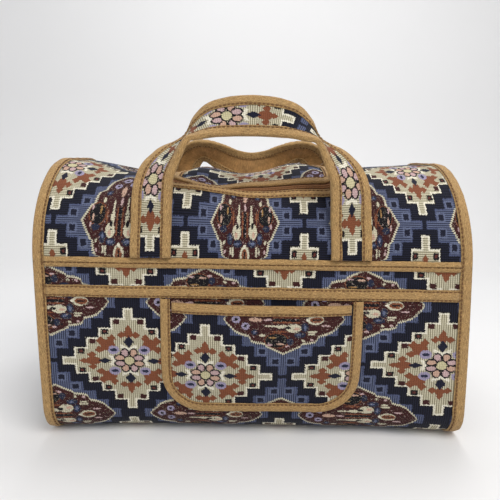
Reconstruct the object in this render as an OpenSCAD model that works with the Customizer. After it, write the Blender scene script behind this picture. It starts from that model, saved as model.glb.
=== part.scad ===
// Soft barrel-topped travel bag of carpet cloth, bound in tan tape.
// Frame: +X to the bag's right, -Y to its front, +Z up, origin in the middle of the base, on the floor.

/* [Bag body] */
// Length over the two end panels
bag_length = 424; // [360:4:480]
// Depth of the cloth body, front to back
bag_depth = 242; // [232:2:270]
// Height at the bound ends, without the handles
bag_height = 288; // [276:2:320]
// Radius of the upper front and back edges
top_radius = 95; // [80:1:105]
// Radius of the lower front and back edges
base_radius = 36; // [28:1:42]
// Outward swell of the front and back walls
wall_swell = 6; // [0:1:9]
// Drop of the soft top between the ends, at its left
top_sag = 14; // [0:1:16]
// Share of that drop which is missing at the right, where the top stands fuller
sag_ease = 0.65; // [0.5:0.05:0.8]
// How far the right end stands out at its foot
right_lean = 14; // [0:1:18]
// How far the lower edges draw in between the ends
base_draw = 6; // [0:1:8]

/* [Cloth and tape] */
// Thickness of the carpet cloth
cloth_t = 1.4; // [1:0.1:1.8]
// Thickness of the binding tape
tape_t = 1; // [0.6:0.1:1.4]
// Clearance between two layers that are sewn together
seam_gap = 0.35; // [0.3:0.05:0.45]
// Width of the end binding on each side of its edge
end_tape_w = 11; // [8:1:14]
// Width of the binding on mouth, flap, pocket and handles
edge_tape_w = 10; // [8:0.5:12]

/* [Front tapes] */
// Height of the seam between upper and lower cloth
seam_z = 190; // [180:1:190]
// Width of the tape over that seam
seam_tape_w = 10; // [8:1:12]
// Height of the middle of the band tape above the pocket
band_tape_z = 161; // [154:1:164]
// Width of the band tape
band_tape_w = 12; // [10:1:14]

/* [Pocket] */
// Sideways place of the pocket's middle
pocket_x = 11; // [-20:1:20]
// Width of the pocket over its cloth
pocket_w = 196; // [160:2:240]
// Height of the pocket's lower edge
pocket_low_z = 33; // [32:1:56]
// Height of the pocket's mouth
pocket_top_z = 151; // [132:1:152]
// Radius of the pocket's lower corners
pocket_corner_r = 40; // [20:1:48]
// How far the pocket's mouth stands open
pocket_gape = 9; // [8:0.5:12]

/* [Zip and flap] */
// Half distance between the zip's two side runs
zip_half_w = 92; // [80:1:100]
// Rise of the zip's front run round the upper edge, in degrees
zip_rise = 46; // [40:1:50]
// Radius of the zip's two corners
zip_corner_r = 20; // [18:1:30]
// How far the mouth's left corner is pulled up by the handle leg
mouth_lift_left = 17; // [0:1:18]
// Half width of the gap that the zip fills
zip_gap_half = 7; // [6:0.5:9]
// Width of each zip tape
zip_tape_w = 13; // [12:0.5:16]
// Thickness of the zip tape
zip_tape_t = 0.6; // [0.4:0.1:0.8]
// Width of each half of the zip's coil
coil_w = 2.2; // [1.6:0.1:2.6]
// Height of the coil
coil_h = 2; // [1.4:0.1:2.4]
// Length of cloth from the bag's middle line back to the flap's seam
flap_seam_l = 42; // [40:1:60]
// Depth of the dent in the flap's left front
flap_dent = 9; // [0:1:10]

/* [Zip slider] */
// Length of the slider's plates
slider_l = 11; // [9:0.5:13]
// Width of the slider's plates
slider_w = 9; // [8:0.5:10]
// Thickness of the slider's plates
slider_plate_t = 1.1; // [0.8:0.1:1.4]
// Distance of the slider behind the bag's middle
slider_y = 18; // [10:1:19]
// Length of the pull tab from its pin
pull_l = 26; // [20:1:34]
// Width of the pull tab
pull_w = 7; // [6:0.5:9]
// Radius of the pull tab's pin
pull_pin_r = 0.8; // [0.6:0.05:1]
// Running clearance of that pin in its lug
pin_clearance = 0.08; // [0.05:0.01:0.1]

/* [Handles] */
// Distance between the middles of a handle's two legs
leg_spacing = 194; // [180:2:210]
// Width of the handle strap over its edge tapes
strap_w = 39; // [34:1:46]
// Thickness of the strap's lining
lining_t = 0.8; // [0.6:0.1:1.2]
// Rise of the front handle above the point where it leaves the cloth
front_rise = 106; // [96:1:120]
// Rise of the rear handle, which has slumped in the middle
rear_rise = 54; // [46:1:66]
// How far the front handle leans back at its top
front_lean = 16; // [8:1:22]
// How far the rear handle leans in at its top
rear_lean = 10; // [4:1:16]
// Angle round the upper edge at which a leg leaves the cloth
leg_leaves = 20; // [14:1:24]

/* [Base board] */
// Thickness of the stiffening board inside the base
board_t = 2.5; // [2:0.5:4]
// Distance of the board from the end panels
board_end_gap = 32; // [28:1:50]
// Radius of the board's corners
board_corner_r = 20; // [8:1:30]

/* [Hidden] */

carpet = "#2d3458";
carpet_light = "#d7cdaa";
tan_tape = "#c8a069";
dark_tan = "#a57846";
brass = "#8a6a3a";
card = "#8b7355";

// A sewn-on tape with its gap, and the cloth body's true edges
skin = tape_t + seam_gap;
half_d = bag_depth / 2;
top_z = bag_height - skin;
cloth_end_x = bag_length / 2 - skin;
zip_slack = 0.15;
under_gap = seam_gap + zip_slack;
lift_run = 20;

// Lengths of the half profile's five runs, from the middle of the base to the middle of the top
base_run = half_d - base_radius;
low_arc = base_radius * PI / 2;
wall_run = top_z - top_radius - base_radius;
top_arc = top_radius * PI / 2;
top_run = half_d - top_radius;
wall_start = base_run + low_arc;
arc_start = wall_start + wall_run;
top_start = arc_start + top_arc;
half_t = top_start + top_run;

// Rows and columns of the cloth's facets
low_arc_steps = 4;
wall_steps = 9;
top_arc_steps = 12;
column_step = 25;

function ramp(a, b, v) = let (u = min(1, max(0, (v - a) / (b - a)))) u * u * (3 - 2 * u);
function unit(v) = v / norm(v);
function steps(a, b, n) = [for (i = [0 : n]) a + (b - a) * i / n];
function wall_t(z) = wall_start + z - base_radius;

// Rows of the half profile, then of the whole loop: the back mirrors the front
half_rows = concat(
    [0, base_run / 2],
    steps(base_run, wall_start, low_arc_steps),
    [for (k = [1 : wall_steps]) wall_start + wall_run * k / wall_steps],
    [for (k = [1 : top_arc_steps]) arc_start + top_arc * k / top_arc_steps],
    [top_start + top_run / 2]);
loop_rows = concat(half_rows, [half_t], [for (k = [len(half_rows) - 1 : -1 : 1]) 2 * half_t - half_rows[k]]);
function rows_between(a, b) = concat([a], [for (t = loop_rows) if (t > a + 1 && t < b - 1) t], [b]);

// Front half of the profile as [y, z, outward y, outward z] at the length t along it
function half_profile(t) =
    t < base_run ? [-t, 0, 0, -1] :
    t < wall_start ? let (a = (t - base_run) / base_radius * 180 / PI)
        [-base_run - base_radius * sin(a), base_radius * (1 - cos(a)), -sin(a), -cos(a)] :
    t < arc_start ? [-half_d, base_radius + t - wall_start, -1, 0] :
    t < top_start ? let (a = (t - arc_start) / top_radius * 180 / PI)
        [-half_d + top_radius * (1 - cos(a)), top_z - top_radius * (1 - sin(a)), -cos(a), sin(a)] :
    [-top_run + t - top_start, top_z, 0, 1];
function from_base(t) = t < 0 ? -t : t <= half_t ? t : 2 * half_t - t;
function profile(t) = let (p = half_profile(from_base(t)), side = t < 0 || t > half_t ? -1 : 1)
    [side * p[0], p[1], side * p[2], p[3]];

// How the soft cloth leaves the plain profile: along the outward direction, and straight up or down
function middle(x) = 1 - ramp(bag_length * 0.26, cloth_end_x, abs(x));
function swell(s) = wall_swell * sin(180 * pow(min(1, max(0, (s - base_run) / (top_start - base_run))), 0.7));
function draw_in(x, s) = base_draw * middle(x) * sin(180 * min(1, max(0, (s - base_run) / (2 * low_arc))));
function dent(x, t) = flap_dent * (1 - ramp(0, zip_half_w / 2, abs(x + zip_half_w * 0.45)))
    * ramp(zip_t - zip_gap_half, zip_t, t) * (1 - ramp(zip_t + zip_gap_half, half_t, t));
lift_x = cloth_end_x - lift_run;
function sag(x) = top_sag * middle(x) * (1 - sag_ease * ramp(-0.2 * zip_half_w, 0.75 * zip_half_w, x));
function rise(x, s) = skin * ramp(lift_x, cloth_end_x - end_tape_w, abs(x)) * (1 - ramp(base_run, wall_start, s))
    - sag(x) * ramp(arc_start + top_arc * 0.15, top_start, s);
zip_t = arc_start + top_radius * zip_rise * PI / 180 + zip_gap_half;

// How far the cloth round the mouth has slid up its own surface, towards the left handle leg
slide_below = 50;
slide_above = 70;
slide_flat = 13;
function mouth_slide(x, t) = mouth_lift_left * ramp(-0.2 * zip_half_w, 0.95 * zip_half_w, -x)
    * ramp(zip_t - slide_below, zip_t - slide_flat, t) * (1 - ramp(zip_t + slide_flat, zip_t + slide_above, t))
    * (1 - ramp(1.15 * zip_half_w, 1.75 * zip_half_w, abs(x)));

// How far the cloth has moved to the right at the height z, all of it at the right end
function lean(x, z) = right_lean * (1 - z / bag_height) * pow(max(0, x) / cloth_end_x, 2);

// Point on the cloth's outer face at x and the profile length t, moved h outward
function cloth_point(x, t, h = 0) =
    let (slid = t + mouth_slide(x, t), s = from_base(slid), p = profile(slid),
        out = h + swell(s) - draw_in(x, s) - dent(x, t), z = p[1] + out * p[3] + rise(x, s))
    [x + lean(x, z), p[0] + out * p[2], z];

// Solids from points: every face is a triangle, turned outward whichever way its points ran.
// A twisted four-sided cell is split along its shorter diagonal, so that layers keep their distance
function quad(p, a, b, c, d) = norm(p[a] - p[c]) <= norm(p[b] - p[d])
    ? [[a, b, c], [a, c, d]] : [[a, b, d], [b, c, d]];
function triple(p, f) = p[f[0]] * cross(p[f[1]], p[f[2]]);
function sum(v) = v * [for (i = v) 1];
module closed_solid(points, faces) {
    volume = sum([for (f = faces) triple(points, f)]);
    polyhedron(points, [for (f = faces) volume > 0 ? [f[2], f[1], f[0]] : f], convexity = 10);
}

// A sheet between two grids of points, with the cells that open(i, j) names left out
module grid_solid(outer, inner, open = function(i, j) false) {
    n = len(outer);
    m = len(outer[0]);
    function at(side, i, j) = (side * n + i) * m + j;
    function there(i, j) = i >= 0 && j >= 0 && i < n - 1 && j < m - 1 && !open(i, j);
    points = [for (grid = [outer, inner]) for (row = grid) each row];
    function rim(i, j, k, l) = quad(points, at(0, i, j), at(1, i, j), at(1, k, l), at(0, k, l));
    faces = [for (i = [0 : n - 2]) for (j = [0 : m - 2]) if (there(i, j)) each concat(
        quad(points, at(0, i, j), at(0, i + 1, j), at(0, i + 1, j + 1), at(0, i, j + 1)),
        quad(points, at(1, i, j + 1), at(1, i + 1, j + 1), at(1, i + 1, j), at(1, i, j)),
        there(i, j - 1) ? [] : rim(i, j, i + 1, j),
        there(i, j + 1) ? [] : rim(i + 1, j + 1, i, j + 1),
        there(i - 1, j) ? [] : rim(i, j + 1, i, j),
        there(i + 1, j) ? [] : rim(i + 1, j, i + 1, j + 1))];
    closed_solid(points, faces);
}

// A section swept along rings of points; ends lists the faces that close an open sweep
module sweep_solid(rings, ends = []) {
    n = len(rings);
    m = len(rings[0]);
    spans = len(ends) == 0 ? n : n - 1;
    points = [for (r = rings) each r];
    last = (n - 1) * m;
    walls = [for (i = [0 : spans - 1]) for (k = [0 : m - 1])
        let (a = i * m, b = (i + 1) % n * m, l = (k + 1) % m) each quad(points, a + k, a + l, b + l, b + k)];
    caps = [for (f = ends) each concat(
        quad(points, f[3], f[2], f[1], f[0]),
        quad(points, last + f[0], last + f[1], last + f[2], last + f[3]))];
    closed_solid(points, concat(walls, caps));
}
flat_ends = [[0, 1, 2, 3]];
lip_ends = [[0, 1, 2, 5], [5, 2, 3, 4]];
fold_ends = [[0, 1, 2, 7], [7, 2, 3, 6], [6, 3, 4, 5]];

// Columns of facets across the bag, which the seams and the zip's mouth share
mouth_x = zip_half_w + zip_gap_half;
mouth_t = zip_t - zip_gap_half;
flap_seam_t = half_t + flap_seam_l;
function spread(a, b) = steps(a, b, ceil((b - a) / column_step));
function after_first(v) = [for (i = [1 : len(v) - 1]) v[i]];
function reversed(v) = [for (i = [len(v) - 1 : -1 : 0]) v[i]];
half_columns = concat(spread(0, mouth_x), after_first(spread(mouth_x, lift_x)),
    [cloth_end_x - end_tape_w, cloth_end_x]);
columns = concat(reversed(-after_first(half_columns)), half_columns);
function columns_between(a, b) = concat([a], [for (x = columns) if (x > a + 1 && x < b - 1) x], [b]);

// Cloth between two depths below its outer face
function cloth_grid(xs, ts, h) = [for (x = xs) [for (t = ts) cloth_point(x, t, h)]];

// Tape sections on the cloth: flat; folded over an edge with a lip; and folded right round an edge
function flat_ring(p, u0, u1, h0, h1) = [for (c = [[u0, h0], [u0, h1], [u1, h1], [u1, h0]])
    cloth_point(p[0] + p[2] * c[0], p[1] + p[3] * c[0], c[1])];
function lip_ring(p, w, low, face) = [for (c = [
        [w, seam_gap], [w, skin], [-skin, skin], [-skin, undef], [-seam_gap, undef], [-seam_gap, seam_gap]])
    let (x = p[0] + p[2] * c[0], t = p[1] + p[3] * c[0])
    cloth_point(x, t, is_undef(c[1]) ? low : face(x, t) + c[1])];
flat_cloth = function(x, t) 0;

module tape_along(path, u0, u1, h0, h1) {
    sweep_solid([for (p = path) flat_ring(p, u0, u1, h0, h1)], flat_ends);
}

// Body cloth
seam_t = wall_t(seam_z);
module lower_wrap() {
    half = rows_between(0, seam_t - seam_gap / 2);
    rows = concat(reversed(-after_first(half)), half);
    color(carpet) grid_solid(cloth_grid(columns, rows, 0), cloth_grid(columns, rows, -cloth_t));
}

module upper_wrap() {
    start = seam_t + seam_gap / 2;
    rows = concat(rows_between(start, mouth_t), after_first(rows_between(mouth_t, flap_seam_t)),
        after_first(rows_between(flap_seam_t, 2 * half_t - start)));
    in_mouth = function(i, j) max(abs(columns[i]), abs(columns[i + 1])) < mouth_x + 1
        && rows[j] > mouth_t - 1 && rows[j + 1] < flap_seam_t + 1;
    color(carpet) grid_solid(cloth_grid(columns, rows, 0), cloth_grid(columns, rows, -cloth_t), in_mouth);
}

// Each end hangs from its top and is turned about it by its lean
module end_panel(inner_x, turn) {
    outline = [for (t = loop_rows) let (p = cloth_point(-cloth_end_x, t, -cloth_t - seam_gap))
        [p[1], (p[2] - bag_height) / cos(turn)]];
    color(carpet) translate([inner_x, 0, bag_height]) rotate([0, -turn, 0]) rotate([90, 0, 90])
        linear_extrude(cloth_t) polygon(outline);
}
module left_end_panel() { end_panel(-cloth_end_x, 0); }
module right_end_panel() { end_panel(cloth_end_x - cloth_t, atan(right_lean / bag_height)); }

module base_board() {
    half_x = cloth_end_x - board_end_gap;
    half_y = base_run - base_draw;
    color(card) translate([0, 0, cloth_t + seam_gap]) linear_extrude(board_t) union() {
        square([2 * (half_x - board_corner_r), 2 * half_y], center = true);
        square([2 * half_x, 2 * (half_y - board_corner_r)], center = true);
        for (sx = [-1, 1], sy = [-1, 1])
            translate([sx * (half_x - board_corner_r), sy * (half_y - board_corner_r)])
                circle(board_corner_r, $fn = 48);
    }
}

// Tapes over the body's seams
module end_binding(side) {
    color(tan_tape) sweep_solid([for (t = loop_rows)
        lip_ring([side * cloth_end_x, t, -side, 0], end_tape_w - skin, -end_tape_w, flat_cloth)]);
}
module left_end_binding() { end_binding(-1); }
module right_end_binding() { end_binding(1); }

tape_end_x = bag_length / 2 - end_tape_w - seam_gap;
module cross_tape(t, w) {
    color(tan_tape) tape_along([for (x = columns_between(-tape_end_x, tape_end_x)) [x, t, 0, 1]],
        -w / 2, w / 2, seam_gap, skin);
}
module front_seam_tape() { cross_tape(seam_t, seam_tape_w); }
module back_seam_tape() { cross_tape(2 * half_t - seam_t, seam_tape_w); }
band_t = wall_t(band_tape_z);
module front_band_tape() { cross_tape(band_t, band_tape_w); }

// Patch pocket
pocket_half = pocket_w / 2;
pocket_low_t = wall_t(pocket_low_z);
pocket_top_t = wall_t(pocket_top_z) - skin;
pocket_tape_end_t = band_t - band_tape_w / 2 - seam_gap;
corner_step = 18;
pocket_rows = 5;
function pocket_bulge(x, t) = let (u = min(1, abs(x - pocket_x) / pocket_half))
    pocket_gape * (1 - u * u) * sin(90 * min(1, max(0, (t - pocket_low_t) / (pocket_top_t - pocket_low_t))));
function pocket_edge_t(x) = let (c = max(0, abs(x - pocket_x) - pocket_half + pocket_corner_r))
    pocket_low_t + pocket_corner_r - sqrt(max(0, pocket_corner_r * pocket_corner_r - c * c));
pocket_face = function(x, t) seam_gap + cloth_t + pocket_bulge(x, t);
straight_half = pocket_half - pocket_corner_r;
corner_offsets = [for (a = [corner_step : corner_step : 90]) straight_half + pocket_corner_r * sin(a)];
pocket_columns = [for (d = concat(reversed(-corner_offsets), spread(-straight_half, straight_half), corner_offsets))
    pocket_x + d];

module pocket_panel() {
    function face_grid(depth) = [for (x = pocket_columns)
        [for (t = steps(pocket_edge_t(x), pocket_top_t, pocket_rows))
            cloth_point(x, t, pocket_face(x, t) - depth)]];
    color(carpet) grid_solid(face_grid(0), face_grid(cloth_t));
}

module pocket_edge_binding() {
    r = pocket_corner_r;
    side = steps(pocket_tape_end_t, pocket_low_t + r, pocket_rows);
    half_path = concat(
        [for (t = side) [pocket_half, t, -1, 0]],
        [for (a = [90 - corner_step : -corner_step : 1])
            [straight_half + r * sin(a), pocket_low_t + r * (1 - cos(a)), -sin(a), cos(a)]],
        [for (x = reversed(spread(0, straight_half))) [x, pocket_low_t, 0, 1]]);
    left = [for (p = half_path) [pocket_x - p[0], p[1], -p[2], p[3]]];
    right = [for (p = reversed(half_path)) [pocket_x + p[0], p[1], p[2], p[3]]];
    color(tan_tape) sweep_solid([for (p = concat(left, after_first(right)))
        lip_ring(p, edge_tape_w - skin, seam_gap, pocket_face)], lip_ends);
}

module pocket_mouth_binding() {
    half = pocket_half - edge_tape_w - seam_gap;
    low = pocket_top_t - edge_tape_w + skin;
    function fold(x) = [for (c = [
            [low, seam_gap], [low, skin], [pocket_top_t + skin, skin],
            [pocket_top_t + skin, -cloth_t - skin], [low, -cloth_t - skin], [low, -cloth_t - seam_gap],
            [pocket_top_t + seam_gap, -cloth_t - seam_gap], [pocket_top_t + seam_gap, seam_gap]])
        cloth_point(x, c[0], pocket_face(x, c[0]) + c[1])];
    color(tan_tape) sweep_solid([for (x = spread(pocket_x - half, pocket_x + half)) fold(x)], fold_ends);
}

// Zip round three sides of the flap: a path of [x, t, outward x, outward t] along its middle line
zip_end_t = flap_seam_t - 2 * seam_gap;
front_step = 14;
corner_arc = [for (a = [90 - corner_step : -corner_step : 1]) a];
half_zip = concat(
    [for (t = reversed(rows_between(zip_t + zip_corner_r, zip_end_t))) [zip_half_w, t, 1, 0]],
    [for (a = corner_arc) [zip_half_w - zip_corner_r * (1 - sin(a)), zip_t + zip_corner_r * (1 - cos(a)),
        sin(a), -cos(a)]],
    let (run = zip_half_w - zip_corner_r)
        [for (x = reversed(steps(0, run, ceil(run / front_step)))) [x, zip_t, 0, -1]]);
zip_path = concat([for (p = half_zip) [-p[0], p[1], -p[2], p[3]]], after_first(reversed(half_zip)));

zip_face_h = -cloth_t - under_gap;
zip_split = 0.6;
tape_split = 1;
coil_low_h = zip_face_h + 0.2;
coil_top_h = coil_low_h + coil_h;
module zip_tape(side) {
    color(dark_tan) tape_along(zip_path, side * tape_split, side * (tape_split + zip_tape_w),
        zip_face_h - zip_tape_t, zip_face_h);
}
module zip_tape_mouth() { zip_tape(1); }
module zip_tape_flap() { zip_tape(-1); }
module zip_coil(side) {
    color(brass) tape_along(zip_path, side * zip_split, side * (zip_split + coil_w), coil_low_h, coil_top_h);
}
module zip_coil_mouth() { zip_coil(1); }
module zip_coil_flap() { zip_coil(-1); }

// Flap, with its front corners rounded to follow the zip
flap_half = zip_half_w - zip_gap_half;
flap_corner_r = zip_corner_r - zip_gap_half;
flap_columns = let (flat = flap_half - flap_corner_r,
        bend = [for (a = [corner_step : corner_step : 90]) flat + flap_corner_r * sin(a)])
    concat(reversed(-bend), steps(-flat, flat, ceil(2 * flat / front_step)), bend);
function flap_edge_t(x) = let (c = max(0, abs(x) - flap_half + flap_corner_r))
    zip_t + zip_gap_half + flap_corner_r - sqrt(max(0, flap_corner_r * flap_corner_r - c * c));
flap_first_row = zip_t + zip_gap_half + flap_corner_r + 2;
module top_flap() {
    rows = rows_between(flap_first_row, zip_end_t);
    function face_grid(h) = [for (x = flap_columns)
        [for (t = concat([flap_edge_t(x)], rows)) cloth_point(x, t, h)]];
    color(carpet) grid_solid(face_grid(0), face_grid(-cloth_t));
}

// Bindings of the two edges that the zip joins
function along_zip(u, turn) = [for (p = zip_path) [p[0] + u * p[2], p[1] + u * p[3], turn * p[2], turn * p[3]]];
module mouth_binding() {
    color(tan_tape) sweep_solid([for (p = along_zip(zip_gap_half, 1))
        lip_ring(p, edge_tape_w - skin, -cloth_t, flat_cloth)], lip_ends);
}
module flap_binding() {
    color(tan_tape) sweep_solid([for (p = along_zip(-zip_gap_half, -1))
        lip_ring(p, edge_tape_w - skin, -cloth_t, flat_cloth)], lip_ends);
}

// Zip slider on the right side run, where it crosses the flat of the top, and its pull tab
slider_base_z = top_z - sag(zip_half_w);
plate_top_h = coil_top_h + 0.3 + slider_plate_t;
plate_low_h = zip_face_h - zip_tape_t - 0.3;
rail_t = 0.8;
lug_w = 1.6;
lug_r = 1.8;
pull_t = 1.4;
arm_gap = 0.3;
arm_w = 1.1;
pin_h = plate_top_h + lug_r + arm_gap;
module at_slider() { translate([zip_half_w, slider_y, slider_base_z]) children(); }
module slider_outline() {
    polygon([[-slider_w / 2, slider_l / 2], [-slider_w / 2, 0], [-slider_w * 0.38, -slider_l / 2],
        [slider_w * 0.38, -slider_l / 2], [slider_w / 2, 0], [slider_w / 2, slider_l / 2]]);
}
module along_x(r, l, h) {
    translate([-l / 2, 0, h]) rotate([0, 90, 0]) cylinder(r = r, h = l, $fn = 32);
}
module zip_slider() {
    rail_x = zip_split + coil_w + 0.4;
    neck_w = 2 * zip_split - 0.6;
    color(brass) at_slider() difference() {
        union() {
            translate([0, 0, plate_top_h - slider_plate_t]) linear_extrude(slider_plate_t) slider_outline();
            translate([0, 0, plate_low_h - slider_plate_t]) linear_extrude(slider_plate_t) slider_outline();
            translate([-neck_w / 2, 0, plate_low_h - slider_plate_t])
                cube([neck_w, slider_l / 3, plate_top_h - plate_low_h + slider_plate_t]);
            for (x = [-rail_x - rail_t, rail_x]) translate([x, 0, zip_face_h + 0.3])
                cube([rail_t, slider_l / 2, plate_top_h - zip_face_h - 0.3]);
            translate([-lug_w / 2, -lug_r, plate_top_h - slider_plate_t])
                cube([lug_w, 2 * lug_r, pin_h - plate_top_h + slider_plate_t]);
            along_x(lug_r, lug_w, pin_h);
        }
        along_x(pull_pin_r + pin_clearance, 2 * lug_w, pin_h);
    }
}
module zip_pull_tab() {
    arm_x = lug_w / 2 + arm_gap;
    web_y = lug_r + 2 * arm_gap;
    end_r = pull_w / 2;
    color(brass) at_slider() union() {
        for (x = [-arm_x - arm_w, arm_x]) {
            translate([x, 0, pin_h - pull_t / 2]) cube([arm_w, web_y + arm_w, pull_t]);
            translate([x + arm_w / 2, 0, 0]) along_x(lug_r - arm_gap, arm_w, pin_h);
        }
        along_x(pull_pin_r, 2 * (arm_x + arm_w), pin_h);
        translate([0, 0, pin_h - pull_t / 2]) linear_extrude(pull_t) difference() {
            union() {
                translate([-end_r, web_y]) square([pull_w, pull_l - end_r - web_y]);
                translate([0, pull_l - end_r]) circle(end_r, $fn = 32);
            }
            translate([0, pull_l - end_r]) circle(end_r / 2, $fn = 32);
        }
    }
}

// Handle straps. Points of a half handle after it leaves the cloth, as shares of
// [half leg spacing inward, lean, rise], with the strap's turn about its own run in degrees
front_bend = [[0, 0, 0, 0], [0.01, 0.05, 0.2, 4], [0.025, 0.2, 0.35, 12], [0.065, 0.45, 0.48, 30],
    [0.17, 0.85, 0.62, 52], [0.34, 1.15, 0.77, 80], [0.46, 1.12, 0.87, 58], [0.66, 1.05, 0.965, 28],
    [1, 1, 1, 12]];
rear_bend = [[0, 0, 0, 0], [0, 0.1, 0.42, 0], [0.01, 0.4, 0.8, 5], [0.07, 0.9, 1.13, 20],
    [0.2, 1.4, 1.33, 42], [0.36, 1.5, 1.35, 45], [0.55, 1.25, 1.22, 28], [0.75, 1.05, 1.07, 12], [1, 1, 1, 5]];
bend_steps = [1, 1, 2, 3, 3, 3, 2, 2];
leg_steps = 2;
half_spacing = leg_spacing / 2;
leg_low_t = seam_t + seam_tape_w / 2 + seam_gap;
leg_high_t = arc_start + top_radius * leg_leaves * PI / 180;

// A smooth curve through p[i - 1] to p[i + 2], at u between p[i] and p[i + 1]; the last point is mirrored
function route_point(p, i) = i < 0 ? 2 * p[0] - p[1]
    : i >= len(p) ? let (q = p[2 * len(p) - 2 - i]) [2 - q[0], q[1], q[2], q[3]] : p[i];
function curve(p, i, u) = let (a = route_point(p, i - 1), b = p[i], c = p[i + 1], d = route_point(p, i + 2))
    b + 0.5 * u * (c - a + u * (2 * a - 5 * b + 4 * c - d + u * (3 * b - a - 3 * c + d)));
function half_route(bend, lean, rise) =
    let (start = cloth_point(half_spacing, leg_high_t, seam_gap))
    concat(
        [for (t = steps(leg_low_t, leg_high_t, leg_steps)) [each cloth_point(half_spacing, t, seam_gap), 0]],
        [for (i = [0 : len(bend) - 2]) for (k = [1 : bend_steps[i]]) let (q = curve(bend, i, k / bend_steps[i]))
            [half_spacing * (1 - q[0]), start[1] + lean * q[1], start[2] + rise * q[2], q[3]]]);
function whole_route(half) = concat([for (p = half) [-p[0], p[1], p[2], p[3]]], after_first(reversed(half)));

// Strap sections: each corner is [across towards the outer edge, out from the back face]
lining_n = tape_t + seam_gap;
cloth_n = lining_n + lining_t + seam_gap;
face_n = cloth_n + cloth_t;
strap_edge = strap_w / 2;
layer_edge = strap_edge - skin;
tape_inner = strap_edge - edge_tape_w;
function layer_section(n0, n1) = concat(
    [for (w = [-layer_edge, -tape_inner, tape_inner, layer_edge]) [w, n0]],
    [for (w = [layer_edge, tape_inner, -tape_inner, -layer_edge]) [w, n1]]);
layer_ends = [[0, 1, 6, 7], [1, 2, 5, 6], [2, 3, 4, 5]];
function fold_section(side) = [for (c = [
        [tape_inner, face_n + seam_gap], [tape_inner, face_n + skin], [strap_edge, face_n + skin],
        [strap_edge, 0], [tape_inner, 0], [tape_inner, tape_t], [layer_edge + seam_gap, tape_t],
        [layer_edge + seam_gap, face_n + seam_gap]])
    [side * c[0], c[1]]];
function place(p) = [p[0], p[1], p[2]];
function strap_rings(route, section) = [for (i = [0 : len(route) - 1])
    let (p = place(route[i]),
        along = unit(place(route[min(i + 1, len(route) - 1)]) - place(route[max(i - 1, 0)])),
        up = unit(cross(along, [0, 1, 0])),
        across = up * cos(route[i][3]) + cross(up, along) * sin(route[i][3]),
        out = cross(along, across))
    [for (c = section) p + across * c[0] + out * c[1]]];
front_route = whole_route(half_route(front_bend, front_lean, front_rise));
rear_route = whole_route(half_route(rear_bend, rear_lean, rear_rise));

module strap_cloth(route) {
    color(carpet_light) sweep_solid(strap_rings(route, layer_section(cloth_n, face_n)), layer_ends);
}
module strap_lining(route) {
    color(dark_tan) sweep_solid(strap_rings(route, layer_section(lining_n, lining_n + lining_t)), layer_ends);
}
module strap_tape(route, side) {
    color(tan_tape) sweep_solid(strap_rings(route, fold_section(side)), fold_ends);
}
module front_handle_cloth() { strap_cloth(front_route); }
module front_handle_lining() { strap_lining(front_route); }
module front_handle_outer_tape() { strap_tape(front_route, 1); }
module front_handle_inner_tape() { strap_tape(front_route, -1); }
module rear_handle_cloth() { mirror([0, 1, 0]) strap_cloth(rear_route); }
module rear_handle_lining() { mirror([0, 1, 0]) strap_lining(rear_route); }
module rear_handle_outer_tape() { mirror([0, 1, 0]) strap_tape(rear_route, 1); }
module rear_handle_inner_tape() { mirror([0, 1, 0]) strap_tape(rear_route, -1); }

lower_wrap();
upper_wrap();
left_end_panel();
right_end_panel();
base_board();
left_end_binding();
right_end_binding();
front_seam_tape();
back_seam_tape();
front_band_tape();
pocket_panel();
pocket_edge_binding();
pocket_mouth_binding();
top_flap();
mouth_binding();
flap_binding();
zip_tape_mouth();
zip_tape_flap();
zip_coil_mouth();
zip_coil_flap();
zip_slider();
zip_pull_tab();
front_handle_cloth();
front_handle_lining();
front_handle_outer_tape();
front_handle_inner_tape();
rear_handle_cloth();
rear_handle_lining();
rear_handle_outer_tape();
rear_handle_inner_tape();
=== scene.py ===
"""Carpet-cloth travel bag: finishes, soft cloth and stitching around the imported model."""
import math

import bmesh
import bpy
import numpy as np
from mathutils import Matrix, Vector


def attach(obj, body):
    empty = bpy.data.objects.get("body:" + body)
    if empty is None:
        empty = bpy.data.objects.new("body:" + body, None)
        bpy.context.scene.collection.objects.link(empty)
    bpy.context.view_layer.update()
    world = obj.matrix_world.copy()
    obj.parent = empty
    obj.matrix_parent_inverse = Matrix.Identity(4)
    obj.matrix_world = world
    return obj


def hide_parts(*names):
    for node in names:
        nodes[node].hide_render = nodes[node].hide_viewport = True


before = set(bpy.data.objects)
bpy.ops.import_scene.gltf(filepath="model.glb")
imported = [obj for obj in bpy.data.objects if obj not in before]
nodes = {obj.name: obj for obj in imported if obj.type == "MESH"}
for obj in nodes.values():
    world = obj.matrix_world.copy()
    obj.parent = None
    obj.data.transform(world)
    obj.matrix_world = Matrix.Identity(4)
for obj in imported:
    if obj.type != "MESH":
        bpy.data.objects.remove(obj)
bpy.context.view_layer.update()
MM = 0.001
CM = 10.0

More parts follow.
